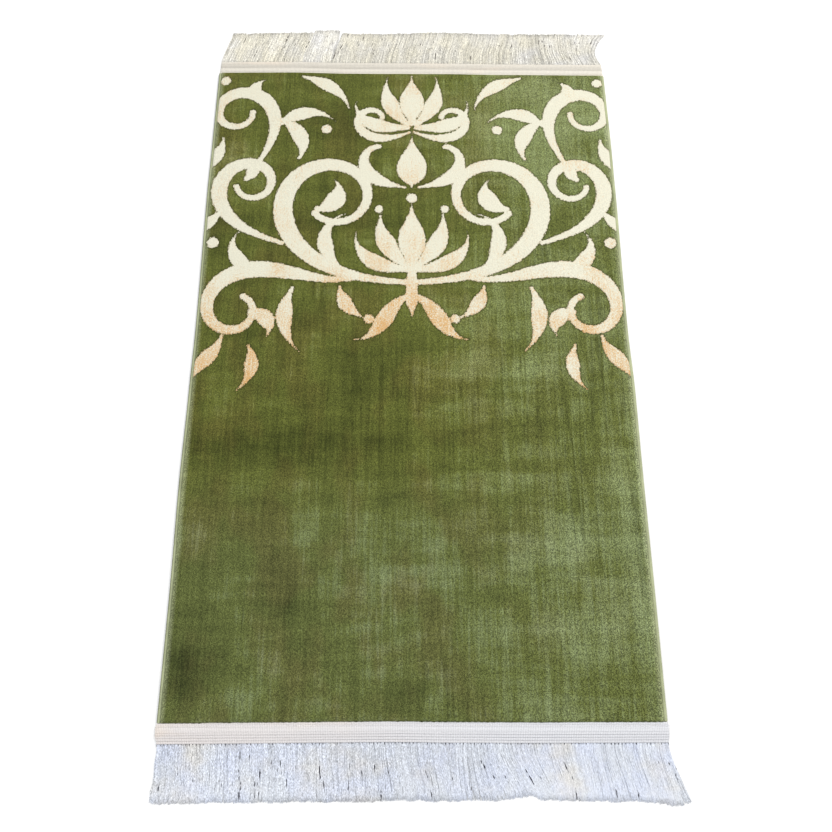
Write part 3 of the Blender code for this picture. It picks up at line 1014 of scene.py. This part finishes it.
def tape_material(colours):
    """Off-white plain weave, creamier at the far end, with painted shade in the lines between its
    ribs and painted highlight on their crests.
    """
    nodes = new_material("woven_tape", 0.85, 0.10)
    axes = nodes.axes()
    fibre = fibres(nodes, (700, 700, 700), (7, 30, 7))
    threads = {"Place": nodes.place, "Threads Across": 430.0, "Threads Along": 560.0}
    weave = nodes.add("ShaderNodeGroup", threads, node_tree=weave_group())
    height = weave.outputs["Height"]
    far = nodes.spread(axes["Y"], -0.2, 0.5)
    right = nodes.spread(axes["X"], -0.35, 0.20)
    base = nodes.mix(right, colours.tape_white, colours.tape_cool)
    base = nodes.mix(far, base, colours.tape_cream)
    cool = nodes.times(right, nodes.maths("SUBTRACT", 1.0, far))
    warm = nodes.spread(fibre["Patch"], 0.50, 0.72, 0.0, 0.45)
    warm = nodes.times(warm, nodes.line(cool, -0.9, 1.0))
    base = nodes.mix(warm, base, colours.tape_warm)
    grain = nodes.spread(fibre["Grain"], 0.25, 0.75, 0.92, 1.06)
    # painted shade where the weave lies low between its threads
    shade = nodes.times(nodes.spread(height, 0.0, 0.60, 0.74, 1.04), grain)
    # painted shade in the ribs' valleys and the hem's lines, painted highlight on the crests and
    # the raised inner edge, and painted bands of light and shade on the far tape
    rib_light_and_shade = nodes.spread(nodes.attribute("rib_valley"), -0.7, 1.3, 1.08, 0.88)
    colour = nodes.shaded(base, nodes.times(shade, rib_light_and_shade))
    return finish_material(nodes, colour, height, 0.0004)


def yarn_material(name, main, other, slit_colour, other_share, calm=0.0):
    """Fine crimped yarn with patches of a second tone, a shade for each strand, partly painted
    shade, and painted shadow in its slits.

    It is more even by calm at the right.
    """
    nodes = new_material(name, 0.55, 0.10)
    axes = nodes.axes()
    fibre = fibres(nodes, (700, 420, 700), (16, 22, 16))
    share = nodes.line(nodes.attribute("strand_pale"), 0.26, fibre["Patch"])
    share = nodes.spread(share, 0.54 - other_share, 0.88 - other_share)
    hue = nodes.spread(nodes.noise((34, 18, 34), detail=4.0), 0.38, 0.62)
    base = nodes.tinted(nodes.mix(share, main, other), nodes.mix(hue, COOL_HUE, WARM_HUE))

    along = nodes.times(axes["Y"], CRINKLE)
    own_line = nodes.add("ShaderNodeCombineXYZ", {0: nodes.attribute("yarn_number"), 1: along})
    crinkle = nodes.spread(nodes.plain_noise(own_line.outputs[0], 2.0), 0.30, 0.70, 0.66, 1.20)
    grain = nodes.spread(fibre["Grain"], 0.28, 0.72, 0.82, 1.115)
    shade = nodes.times(nodes.times(nodes.attribute("strand_shade"), grain), crinkle)
    shade = nodes.times(shade, nodes.spread(axes["X"], -0.30, 0.05, 1.025, 0.970))
    calmer = nodes.spread(axes["X"], -0.05, 0.25, 1.0, 1 - calm)
    shade = nodes.line(nodes.maths("SUBTRACT", shade, 1.0), calmer, 1.0)

    # painted shadow in the slits and in the dots between the locks' roots, broken into dashes
    dashes = nodes.spread(nodes.noise((240, 140, 240), detail=1.0), 0.30, 0.66, 0.45, 1.25)
    slit = nodes.spread(nodes.times(nodes.attribute("slit"), dashes), 0.36, 0.70)
    colour = nodes.mix(slit, nodes.shaded(base, shade), slit_colour)
    return finish_material(nodes, colour, fibre["Grain"], 0.0002)


def floor_material(colours):
    """Plain pale floor with the faintest unevenness."""
    nodes = new_material("pale_floor", 0.9, 0.0)
    cloud = nodes.noise((3, 3, 3), detail=1.0)
    darker = tuple(0.995 * value for value in colours.floor)
    return finish_material(nodes, nodes.mix(cloud, darker, colours.floor), cloud, 0.0)


# --- Pieces -----------------------------------------------


def pile_places(sizes):
    """Rows of the pile's mesh along the rug, close together where the design is."""
    inner = HALF_LENGTH - PILE_RIM[0]["inset"]
    plain = round((DESIGN_FOOT + inner) / sizes.field_step)
    drawn = round((inner - DESIGN_FOOT) / sizes.design_step)
    low = np.linspace(-inner, DESIGN_FOOT, plain + 1)
    high = np.linspace(DESIGN_FOOT, inner, drawn + 1)
    return np.concatenate((low, high[1:]))


def carry_rim(mesh, edges, height, shift):
    """Carry an open rim on to a height, outwards by a shift."""
    extruded = bmesh.ops.extrude_edge_only(mesh, edges=edges)["geom"]
    verts = only(bmesh.types.BMVert, extruded)
    half_width = max(vert.co.x for vert in verts)
    half_length = max(vert.co.y for vert in verts)
    for vert in verts:
        vert.co.z = height
        if abs(vert.co.x) > half_width - GAP:
            vert.co.x += math.copysign(shift, vert.co.x)
        if abs(vert.co.y) > half_length - GAP:
            vert.co.y += math.copysign(shift, vert.co.y)
    return only(bmesh.types.BMEdge, extruded)


def pull_out(mesh, low, high, direction, length):
    """Pull the rim between two heights straight out on one side."""
    level = (low + high) / 2
    faces = [
        face
        for face in mesh.faces
        if abs(face.calc_center_median().z - level) < GAP and face.normal.dot(direction) > 0.9
    ]
    extruded = bmesh.ops.extrude_face_region(mesh, geom=faces)["geom"]
    bmesh.ops.delete(mesh, geom=faces, context="FACES")
    verts = only(bmesh.types.BMVert, extruded)
    bmesh.ops.translate(mesh, vec=direction * length, verts=verts)


def pile_mesh(sizes):
    """The pile and its ground weave, with tongues under the tapes and thin selvedges."""
    rows = pile_places(sizes)
    half_width = PILE_HALF_WIDTH - PILE_RIM[0]["inset"]
    columns = round(2 * half_width / sizes.design_step)
    mesh = bmesh.new()
    bmesh.ops.create_grid(mesh, x_segments=columns, y_segments=len(rows) - 1, size=0.5)
    for vert in mesh.verts:
        row = round((vert.co.y + 0.5) * (len(rows) - 1))
        vert.co = (vert.co.x * 2 * half_width, rows[row], PILE_TOP)
    edges = [edge for edge in mesh.edges if edge.is_boundary]
    inset = PILE_RIM[0]["inset"]
    for step in PILE_RIM[1:]:
        edges = carry_rim(mesh, edges, step["height"] * PILE_TOP, inset - step["inset"])
        inset = step["inset"]
    for height in (GROUND, 0):
        edges = carry_rim(mesh, edges, height, 0)
    bmesh.ops.contextual_create(mesh, geom=edges)
    bmesh.ops.recalc_face_normals(mesh, faces=mesh.faces)
    selvedge = BINDING_WIDTH - BINDING_SKIN
    for side in (-1, 1):
        pull_out(mesh, 0, GROUND, Vector((0, side, 0)), TONGUE_LENGTH)
        pull_out(mesh, GROUND, 2 * GROUND, Vector((side, 0, 0)), selvedge)
    return mesh


def brush_pile(points):
    """Raise the pile's top in slow ripples and soft brush marks, and roughen its rim."""
    brushed = points.copy()
    for number, (x, y, z) in enumerate(points):
        if z > 2 * GROUND + GAP:
            share = (z - 2 * GROUND) / (PILE_TOP - 2 * GROUND)
            mark = uneven(x * 14, y * 18, 1.7)
            tuft = uneven(x * 260, y * 260, z * 260)
            brushed[number, 2] = z + (BRUSH_RISE * mark + TUFT_RISE * tuft) * share
            if z < PILE_TOP - GAP:
                side = uneven(x * 180, y * 180, 9.1)
                if abs(x) > PILE_HALF_WIDTH - RIM_DEPTH:
                    brushed[number, 0] += RIM_ROUGHNESS * side
                if abs(y) > HALF_LENGTH - RIM_DEPTH:
                    brushed[number, 1] += RIM_ROUGHNESS * side
    top = points[:, 2] > PILE_TOP - GAP
    groove = np.clip(1 - np.abs(design_depth(points[top])) / GROOVE_REACH, 0, 1)
    brushed[top, 2] += ripple(points[top, 0], points[top, 1]) - GROOVE * groove
    return brushed


class PRAYERRUG_OT_pile(Operator):
    """Make the cut pile and its ground weave as one sheet, with the design woven in"""

    bl_idname = "prayerrug.pile"
    bl_label = "Pile"

    def execute(self, context):
        scene = context.scene
        mesh = pile_mesh(scene.rug_sizes)
        data = mesh_from(mesh, "pile", brush_pile, design_depth=design_depth, brushing=brushing)
        piece = add_piece("pile", data, pile_material(scene.rug_colours), "pile", "pile_rug")
        return {"FINISHED"}


def wrap_swell(phase, turn):
    """How far the wraps swell the cord, at a turn round it."""
    return WRAP_RISE * (abs(math.sin(math.pi * phase + WRAP_SLANT * turn)) - 0.5)


def binding_section(y, phase):
    """Section of the right binding: a cord with a slot for the selvedge, swelled by a wrap."""
    slot_low = GROUND - GAP
    slot_high = 2 * GROUND + GAP
    inward_and_up = []
    for facet in range(BINDING_ARC + 1):
        turn = math.pi * (facet / BINDING_ARC - 0.5)
        swell = wrap_swell(phase, turn)
        inward = BINDING_ROUND - (BINDING_ROUND + swell) * math.cos(turn)
        half = BINDING_TOP / 2 + (swell if turn > 0 else 0)
        inward_and_up.append((inward, BINDING_TOP / 2 + half * math.sin(turn)))
    inward_and_up += [
        (BINDING_WIDTH - GAP, BINDING_TOP - BINDING_DROOP + wrap_swell(phase, math.pi / 2)),
        (BINDING_WIDTH, slot_high),
        (BINDING_SKIN, slot_high),
        (BINDING_SKIN, slot_low),
        (BINDING_WIDTH, slot_low),
        (BINDING_WIDTH, BINDING_DROOP),
    ]
    return [(HALF_WIDTH - inward, y, up) for inward, up in inward_and_up]


def binding_inward(points):
    """How far each place of a binding lies from the rug's side."""
    return HALF_WIDTH - np.abs(points[:, 0])


class PRAYERRUG_OT_bindings(Operator):
    """Make the overcast cord along each side"""

    bl_idname = "prayerrug.bindings"
    bl_label = "Side bindings"

    def execute(self, context):
        sizes = context.scene.rug_sizes
        material = binding_material(context.scene.rug_colours)
        steps = round(FIELD_LENGTH / sizes.wrap_pitch) * WRAP_STEPS
        for name, side in (("left", -1), ("right", 1)):
            sections = []
            for step in range(steps + 1):
                y = FIELD_LENGTH * (step / steps - 0.5)
                section = binding_section(y, step / WRAP_STEPS)
                sections.append([(side * px, py, pz) for px, py, pz in section])
            label = "binding_wraps_" + name
            data = mesh_from(sweep(sections), label, inward=binding_inward)
            add_piece(label, data, material, "binding", "binding_" + name)
            data.set_sharp_from_angle(angle=BINDING_CORNER)
        return {"FINISHED"}


def tape_section(x, top, closed):
    """Section of the far tape: foot, underside, inner selvedge, plain weave and ribs."""
    foot = HALF_LENGTH + TONGUE_LENGTH + GAP
    under = 0 if closed else GROUND + GAP
    fold = foot - TAPE_FOLD if closed else foot
    points = [(TAPE_OUTER - GAP, 0), (foot, 0), (fold, under), (TAPE_INNER, under)]
    points += [(TAPE_INNER + row["across"], top + row["rise"]) for row in TAPE_HEM]
    first_rib = TAPE_OUTER - RIB_COUNT * RIB_PITCH
    plain_from = points[-1][0] + HEM_STEP
    plain_to = first_rib - RIB_PITCH * 0.2
    for share in (0.0, 0.3, 0.6, 1.0):
        points.append((plain_from + (plain_to - plain_from) * share, top))
    for rib in range(RIB_COUNT):
        fall = (top - TAPE_EDGE_TOP) * rib / RIB_COUNT
        valley = first_rib + rib * RIB_PITCH
        for row in RIB_SHAPE:
            across = valley + RIB_PITCH * row["share"]
            points.append((across, top - fall + RIB_RISE * row["rise"]))
    points.append((TAPE_OUTER, TAPE_EDGE_TOP * 0.85))
    points.append((TAPE_OUTER, TAPE_EDGE_TOP * 0.3))
    return [(x, y, z) for y, z in points]


def rib_valley(points):
    """How much painted shade each place of a tape takes: 1 in a valley between its ribs, less on
    a crest, with painted shade in the hem's lines, painted highlight on the inner edge and
    painted bands on the far tape.
    """
    across = np.abs(points[:, 1]) - HALF_LENGTH - GAP
    rib = (across - TAPE_WIDTH) / RIB_PITCH + RIB_COUNT
    aside = np.abs(rib - np.round(rib))
    valley = np.where(rib > -0.1, 1 - aside * 3, 0)
    for row in TAPE_HEM[1:]:
        if row["rise"] < 0:
            valley = np.maximum(valley, HEM_DEPTH * (np.abs(across - row["across"]) < GAP))
    for row in FAR_TAPE:
        drawn = row["depth"] * bell(across - row["across"], row["width"])
        valley = valley + np.where(points[:, 1] > 0, drawn, 0)
    return valley - SELVEDGE_CREST * bell(across - CREST_PLACE, CREST_REACH)


def cockle(points):
    """The small cockles of a sewn tape, and the scallops that the stitches pull in its edge."""
    shaped = points.copy()
    for number, (x, y, z) in enumerate(points):
        share = min(max((abs(y) - TAPE_INNER) / TAPE_WIDTH, 0), 1)
        edge = max(1 - share * SCALLOP_FADE, 0)
        if z > GROUND + 2 * GAP:
            shaped[number, 2] = z + COCKLE * uneven(x * 70, y * 120, 0.4)
        pull = SCALLOP * (0.5 + 0.8 * uneven(x * 75, 3.3, 0.4))
        scallop = pull * abs(math.sin(math.pi * x / SCALLOP_PITCH)) * edge
        shaped[number, 1] = y + math.copysign(scallop, y)
    return shaped


class PRAYERRUG_OT_tapes(Operator):
    """Make the woven tape over each end"""

    bl_idname = "prayerrug.tapes"
    bl_label = "Fringe tapes"

    def execute(self, context):
        sizes = context.scene.rug_sizes
        material = tape_material(context.scene.rug_colours)
        steps = round(2 * POCKET_HALF / sizes.tape_step)
        closed = (
            (TAPE_HALF, TAPE_END_TOP - GAP),
            (TAPE_HALF - TAPE_ROUND[0], TAPE_END_TOP + TAPE_ROUND[1]),
            (POCKET_HALF + TAPE_FOLD, TAPE_TOP),
        )
        for name, end in (("near", -1), ("far", 1)):
            sections = [tape_section(-x, top, True) for x, top in closed]
            for step in range(steps + 1):
                x = POCKET_HALF * (2 * step / steps - 1)
                sections.append(tape_section(x, TAPE_TOP, False))
            sections += [tape_section(x, top, True) for x, top in reversed(closed)]
            sections = [[(px, end * py, pz) for px, py, pz in section] for section in sections]
            label = "tape_weave_" + name
            data = mesh_from(sweep(sections), label, cockle, rib_valley=rib_valley)
            piece = add_piece(label, data, material, "tape", "tape_" + name)
            data.set_sharp_from_angle(angle=TAPE_CORNER)
        return {"FINISHED"}


def stitch_lines(end, pitch):
    """Middle lines of the running stitches that sew a tape down, along its inner edge."""
    count = round(2 * POCKET_HALF / pitch)
    y = end * (TAPE_INNER + STITCH_LINE)
    lines = []
    for number in range(count):
        middle = POCKET_HALF * (2 * (number + 0.5) / count - 1)
        line = []
        for share in (-1, -0.7, 0, 0.7, 1):
            rise = STITCH_RISE - STITCH_DIP * abs(share) ** 3
            line.append((middle + share * pitch * STITCH_HALF, y, TAPE_TOP + rise))
        lines.append(np.array(line))
    return lines


class PRAYERRUG_OT_stitches(Operator):
    """Sew each tape down with a row of stitches"""

    bl_idname = "prayerrug.stitches"
    bl_label = "Tape stitches"

    def execute(self, context):
        sizes = context.scene.rug_sizes
        colours = context.scene.rug_colours
        material = yarn_material(
            "sewing_thread", colours.tape_white, colours.warm_yarn, colours.cool_slit_shadow, 0.1
        )
        for name, end in (("near", -1), ("far", 1)):
            lines = stitch_lines(end, sizes.stitch_pitch)
            radii = (0.6, 1.0, 1.0, 1.0, 0.6)
            label = "tape_stitches_" + name
            data = yarns_from(label, lines, radii, STITCH_THREAD)
            set_points(data, lay(points_of(data)))
            add_values(data, "strand_shade", np.ones(len(data.vertices)))
            add_values(data, "yarn_number", points_of(data)[:, 0] // sizes.stitch_pitch)
            add_piece(label, data, material, "tape")
        return {"FINISHED"}


def parting_aside(x, along, parting):
    """How far a place beside a slit lies from it, and how open the slit is there."""
    share = (along - parting["start"]) / (parting["end"] - parting["start"])
    aside = x - parting["across"] - parting["slant"] * (share - 0.5)
    return aside, np.clip(1 - (2 * share - 1) ** 2, 0, 1)


def parting_push(x, along, partings):
    """How far a yarn on a path is pushed sideways by the slits next to it."""
    push = np.zeros(len(along))
    for parting in partings:
        aside, opened = parting_aside(x, along, parting)
        middle = np.interp((parting["start"] + parting["end"]) / 2, along, aside)
        side = math.copysign(PARTING_OPENING * parting["dark"], middle)
        push += side * opened * bell(aside, PARTING_REACH)
    return push


def slit_depth(points, rows, partings, width):
    """How much painted shadow each place of a straight fringe takes, in a slit or in a dot
    between two roots.
    """
    root = HALF_LENGTH + TAPE_WIDTH
    along = (np.abs(points[:, 1]) - root) / soft_curve(rows, "across", "length", points[:, 0])
    place = (points[:, 0] / (RUG_WIDTH - 2 * TAPE_INSET) + 0.5) * LOCK_COUNT
    beside = np.abs(place - np.round(place)) * RUG_WIDTH / LOCK_COUNT
    depth = np.clip(1 - along / ROOT_DOT_LENGTH, 0, 1) * bell(beside, ROOT_DOT)
    depth = depth * np.where(points[:, 1] > 0, FAR_ROOT_DOT, 1)
    for parting in partings:
        aside, opened = parting_aside(points[:, 0], along, parting)
        drawn = parting["dark"] * np.sqrt(opened) * bell(aside, width)
        depth = np.maximum(depth, drawn)
    return depth


def all_partings(fringe):
    """The slits in a fringe's table, and small ones scattered over the rest of it."""
    scatter = random.Random(fringe["seed"])
    small = []
    for _ in range(fringe["small_slits"]):
        start = scatter.uniform(0.25, 0.92)
        small.append({
            "across": scatter.uniform(-0.34, 0.36),
            "slant": scatter.uniform(-0.001, 0.003),
            "start": start,
            "end": start + scatter.uniform(0.08, 0.20),
            "dark": scatter.uniform(0.55, 0.95),
        })
    return fringe["partings"] + small


def fringe_lines(fringe, layer, partings):
    """Middle lines of the yarns of one layer of a fringe.

    For each yarn there is also its shade, with painted shade on the under layer, how much painted
    shadow darkens its cut end, and how much of the second, paler tone it takes.
    """
    scatter = random.Random(fringe["seed"])
    loose = random.Random(fringe["seed"] + layer["yarns"])
    end, rows = fringe["end"], fringe["rows"]
    pitch = 2 * TAPE_HALF / LOCK_COUNT
    along = np.linspace(0, 1, layer["points"]) ** 1.1
    height = np.interp(along, *LOCK_HEIGHTS)
    spread = np.interp(along, *LOCK_SPREADS) * pitch
    thick = layer["width"] / 2
    darkest, palest = (1 + tone * fringe["uneven"] for tone in YARN_TONES)
    lines, shades = [], []
    for lock in range(LOCK_COUNT):
        root = TAPE_HALF * (2 * (lock + 0.5) / LOCK_COUNT - 1)
        row = {key: float(soft_curve(rows, "across", key, root)) for key in rows[0]}
        length = row["length"] + scatter.uniform(-LENGTH_SCATTER, LENGTH_SCATTER)
        length += UNEVEN_TIPS * uneven(root * 85, end * 7.7, 2.4)
        lean = row["lean"] + scatter.uniform(-LEAN_SCATTER, LEAN_SCATTER)
        clump = CLUMP_LEAN * uneven(root * 38, end * 3.1, 0.2)
        clump += SMALL_CLUMP_LEAN * uneven(root * 120, end * 3.1, 5.2)
        middle = root + drift(lean + clump, row["bow"] + clump / 3, along)
        middle = middle + row["flow"] * eased(along)
        for strand in range(layer["strands"]):
            across = 2 * (strand + 0.5) / layer["strands"] - 1 + loose.uniform(-0.20, 0.20)
            level = loose.uniform(layer["low"], layer["high"])
            wander = loose.gauss(0, layer["wander"])
            turn = loose.uniform(0, math.tau)
            waves = loose.uniform(*CRIMP_WAVES)
            if loose.random() < STRAY_SHARE:
                wander += loose.gauss(0, STRAY)
                level = min(level * STRAY_LIFT, STRAY_MOST)
            strand_length = length + TIP_PAST + loose.uniform(*STRAND_TIPS)
            # a layer's shade is painted shade: the under layer is darker, as it lies in the over
            # layer's shadow
            shade = layer["shade"] * loose.uniform(*STRAND_TONES)
            # painted shadow on the cut ends of some strands
            dark_end = DARK_END if loose.random() < fringe["dark_ends"] else 0
            path = middle + across * spread + wander * along**1.2
            path = path + layer["crimp"] * along**0.5 * np.sin(turn + math.tau * waves * along)
            for yarn in range(layer["yarns"]):
                beside = (2 * (yarn + 0.5) / layer["yarns"] - 1) * layer["width"]
                x = path + beside + loose.gauss(0, YARN_WANDER) * along
                x = x + parting_push(x, along, partings if layer["name"] == "over" else ())
                reach = strand_length + loose.uniform(*YARN_TIPS)
                y = end * (TAPE_OUTER - GAP + reach * along)
                z = thick + level * np.maximum(height - 2 * thick, LEAST_HEIGHT)
                lines.append(np.column_stack((x, y, z)))
                shades.append((shade * loose.uniform(darkest, palest), dark_end, row["pale"]))
    return lines, np.array(shades)


def add_shades(data, shades):
    """Store each yarn's number, shade and tint, paint shadow on the ends of some yarns and paint
    the others' ends a little lighter.
    """
    reach = np.abs(points_of(data)[:, 1]).reshape(len(shades), -1)
    reach = reach - reach.min(axis=1, keepdims=True)
    reach = reach / reach.max(axis=1, keepdims=True)
    end = np.clip((reach - DARK_END_FROM) / (1 - DARK_END_FROM), 0, 1)
    shade = shades[:, :1] * (1 + (PALE_END - shades[:, 1:2]) * end)
    number = np.arange(len(shades))[:, None] * YARN_STEP
    add_values(data, "strand_shade", shade.ravel())
    add_values(data, "strand_pale", (shades[:, 2:] * np.ones_like(reach)).ravel())
    add_values(data, "yarn_number", (number * np.ones_like(reach)).ravel())


class PRAYERRUG_OT_fringes(Operator):
    """Make the loose yarns of both fringes, an under and an over layer on each"""

    bl_idname = "prayerrug.fringes"
    bl_label = "Fringes"

    def execute(self, context):
        colours = context.scene.rug_colours
        materials = {
            "near": yarn_material(
                "near_yarn", colours.cool_yarn, colours.cream_yarn, colours.cool_slit_shadow, 0.02, 0.45
            ),
            "far": yarn_material(
                "far_yarn", colours.warm_yarn, colours.white_yarn, colours.warm_slit_shadow, 0.0
            ),
        }
        for fringe in FRINGES:
            name = fringe["name"]
            partings = all_partings(fringe)
            for layer in FRINGE_LAYERS:
                label = "fringe_" + layer["name"] + "_" + name
                lines, shades = fringe_lines(fringe, layer, partings)
                radii = np.ones(layer["points"])
                radii[-1] = TIP_TAPER
                data = yarns_from(label, lines, radii, layer["width"])
                add_shades(data, shades)
                points = points_of(data)
                depth = slit_depth(points, fringe["rows"], partings, layer["slit_width"])
                add_values(data, "slit", depth)
                set_points(data, lay(points))
                add_piece(label, data, materials[name], "fringe", "fringe_" + name)
        return {"FINISHED"}


# --- Stage ------------------------------------------------


def add_camera(scene):
    """A camera at the photograph's viewing angle."""
    ahead = Vector((
        math.sin(CAMERA_YAW) * math.cos(CAMERA_PITCH),
        math.cos(CAMERA_YAW) * math.cos(CAMERA_PITCH),
        -math.sin(CAMERA_PITCH),
    ))
    right = ahead.cross(Vector((0, 0, 1))).normalized()
    up = right.cross(ahead)
    turned_right = right * math.cos(CAMERA_ROLL) + up * math.sin(CAMERA_ROLL)
    turned_up = up * math.cos(CAMERA_ROLL) - right * math.sin(CAMERA_ROLL)
    data = bpy.data.cameras.new("camera")
    data.lens = CAMERA_LENS
    data.sensor_width = 36
    data.clip_start = 0.01
    camera = bpy.data.objects.new("camera", data)
    turn = Matrix((turned_right, turned_up, -ahead)).transposed()
    camera.matrix_world = Matrix.Translation(CAMERA_PLACE) @ turn.to_4x4()
    scene.collection.objects.link(camera)
    scene.camera = camera


def add_light(scene, name, place, size, power, colour):
    """A soft square light that looks at the middle of the rug."""
    data = bpy.data.lights.new(name, "AREA")
    data.size = size
    data.energy = power
    data.color = colour
    lamp = bpy.data.objects.new(name, data)
    lamp.location = place
    lamp.rotation_euler = (-Vector(place)).to_track_quat("-Z", "Y").to_euler()
    scene.collection.objects.link(lamp)


def set_world(scene, strength):
    """An even, soft white light all round."""
    world = bpy.data.worlds.new("soft_room")
    world.use_nodes = True
    background = world.node_tree.nodes["Background"]
    background.inputs["Color"].default_value = (*WHITE, 1.0)
    background.inputs["Strength"].default_value = strength
    scene.world = world


class PRAYERRUG_OT_stage(Operator):
    """Lay a plain pale floor, set soft studio light and place the camera"""

    bl_idname = "prayerrug.stage"
    bl_label = "Stage"

    def execute(self, context):
        scene = context.scene
        mesh = bmesh.new()
        bmesh.ops.create_grid(mesh, x_segments=1, y_segments=1, size=FLOOR_HALF)
        bmesh.ops.translate(mesh, vec=(0, 0, -GAP), verts=mesh.verts)
        data = bpy.data.meshes.new("floor")
        mesh.to_mesh(data)
        mesh.free()
        data.materials.append(floor_material(scene.rug_colours))
        floor = bpy.data.objects.new("floor", data)
        scene.collection.objects.link(floor)
        add_camera(scene)
        set_world(scene, ROOM_LIGHT)
        for light in LIGHTS:
            add_light(scene, **light)
        scene.view_settings.view_transform = "Standard"
        return {"FINISHED"}


# --- Panel and registration -------------------------------

OPERATORS = (
    PRAYERRUG_OT_stage,
    PRAYERRUG_OT_pile,
    PRAYERRUG_OT_bindings,
    PRAYERRUG_OT_tapes,
    PRAYERRUG_OT_stitches,
    PRAYERRUG_OT_fringes,
)


class PRAYERRUG_PT_panel(Panel):
    """Sizes, colours and steps of the rug, in the 3D view's sidebar"""

    bl_label = "Prayer Rug"
    bl_space_type = "VIEW_3D"
    bl_region_type = "UI"
    bl_category = "Prayer Rug"

    def draw(self, context):
        for group in (context.scene.rug_sizes, context.scene.rug_colours):
            for name in group.__annotations__:
                self.layout.prop(group, name)
        for operator in OPERATORS:
            self.layout.operator(operator.bl_idname)


CLASSES = (RugSizes, RugColours, *OPERATORS, PRAYERRUG_PT_panel)


def register():
    """Make the classes known to Blender."""
    for cls in CLASSES:
        bpy.utils.register_class(cls)
    bpy.types.Scene.rug_sizes = PointerProperty(type=RugSizes)
    bpy.types.Scene.rug_colours = PointerProperty(type=RugColours)


def unregister():
    """Take the classes out again."""
    del bpy.types.Scene.rug_sizes
    del bpy.types.Scene.rug_colours
    for cls in reversed(CLASSES):
        bpy.utils.unregister_class(cls)


def main():
    """Register the add-on and make every piece in order."""
    register()
    bpy.ops.prayerrug.stage()
    bpy.ops.prayerrug.pile()
    bpy.ops.prayerrug.bindings()
    bpy.ops.prayerrug.tapes()
    bpy.ops.prayerrug.stitches()
    bpy.ops.prayerrug.fringes()
    bpy.context.view_layer.update()


if __name__ == "__main__":
    main()
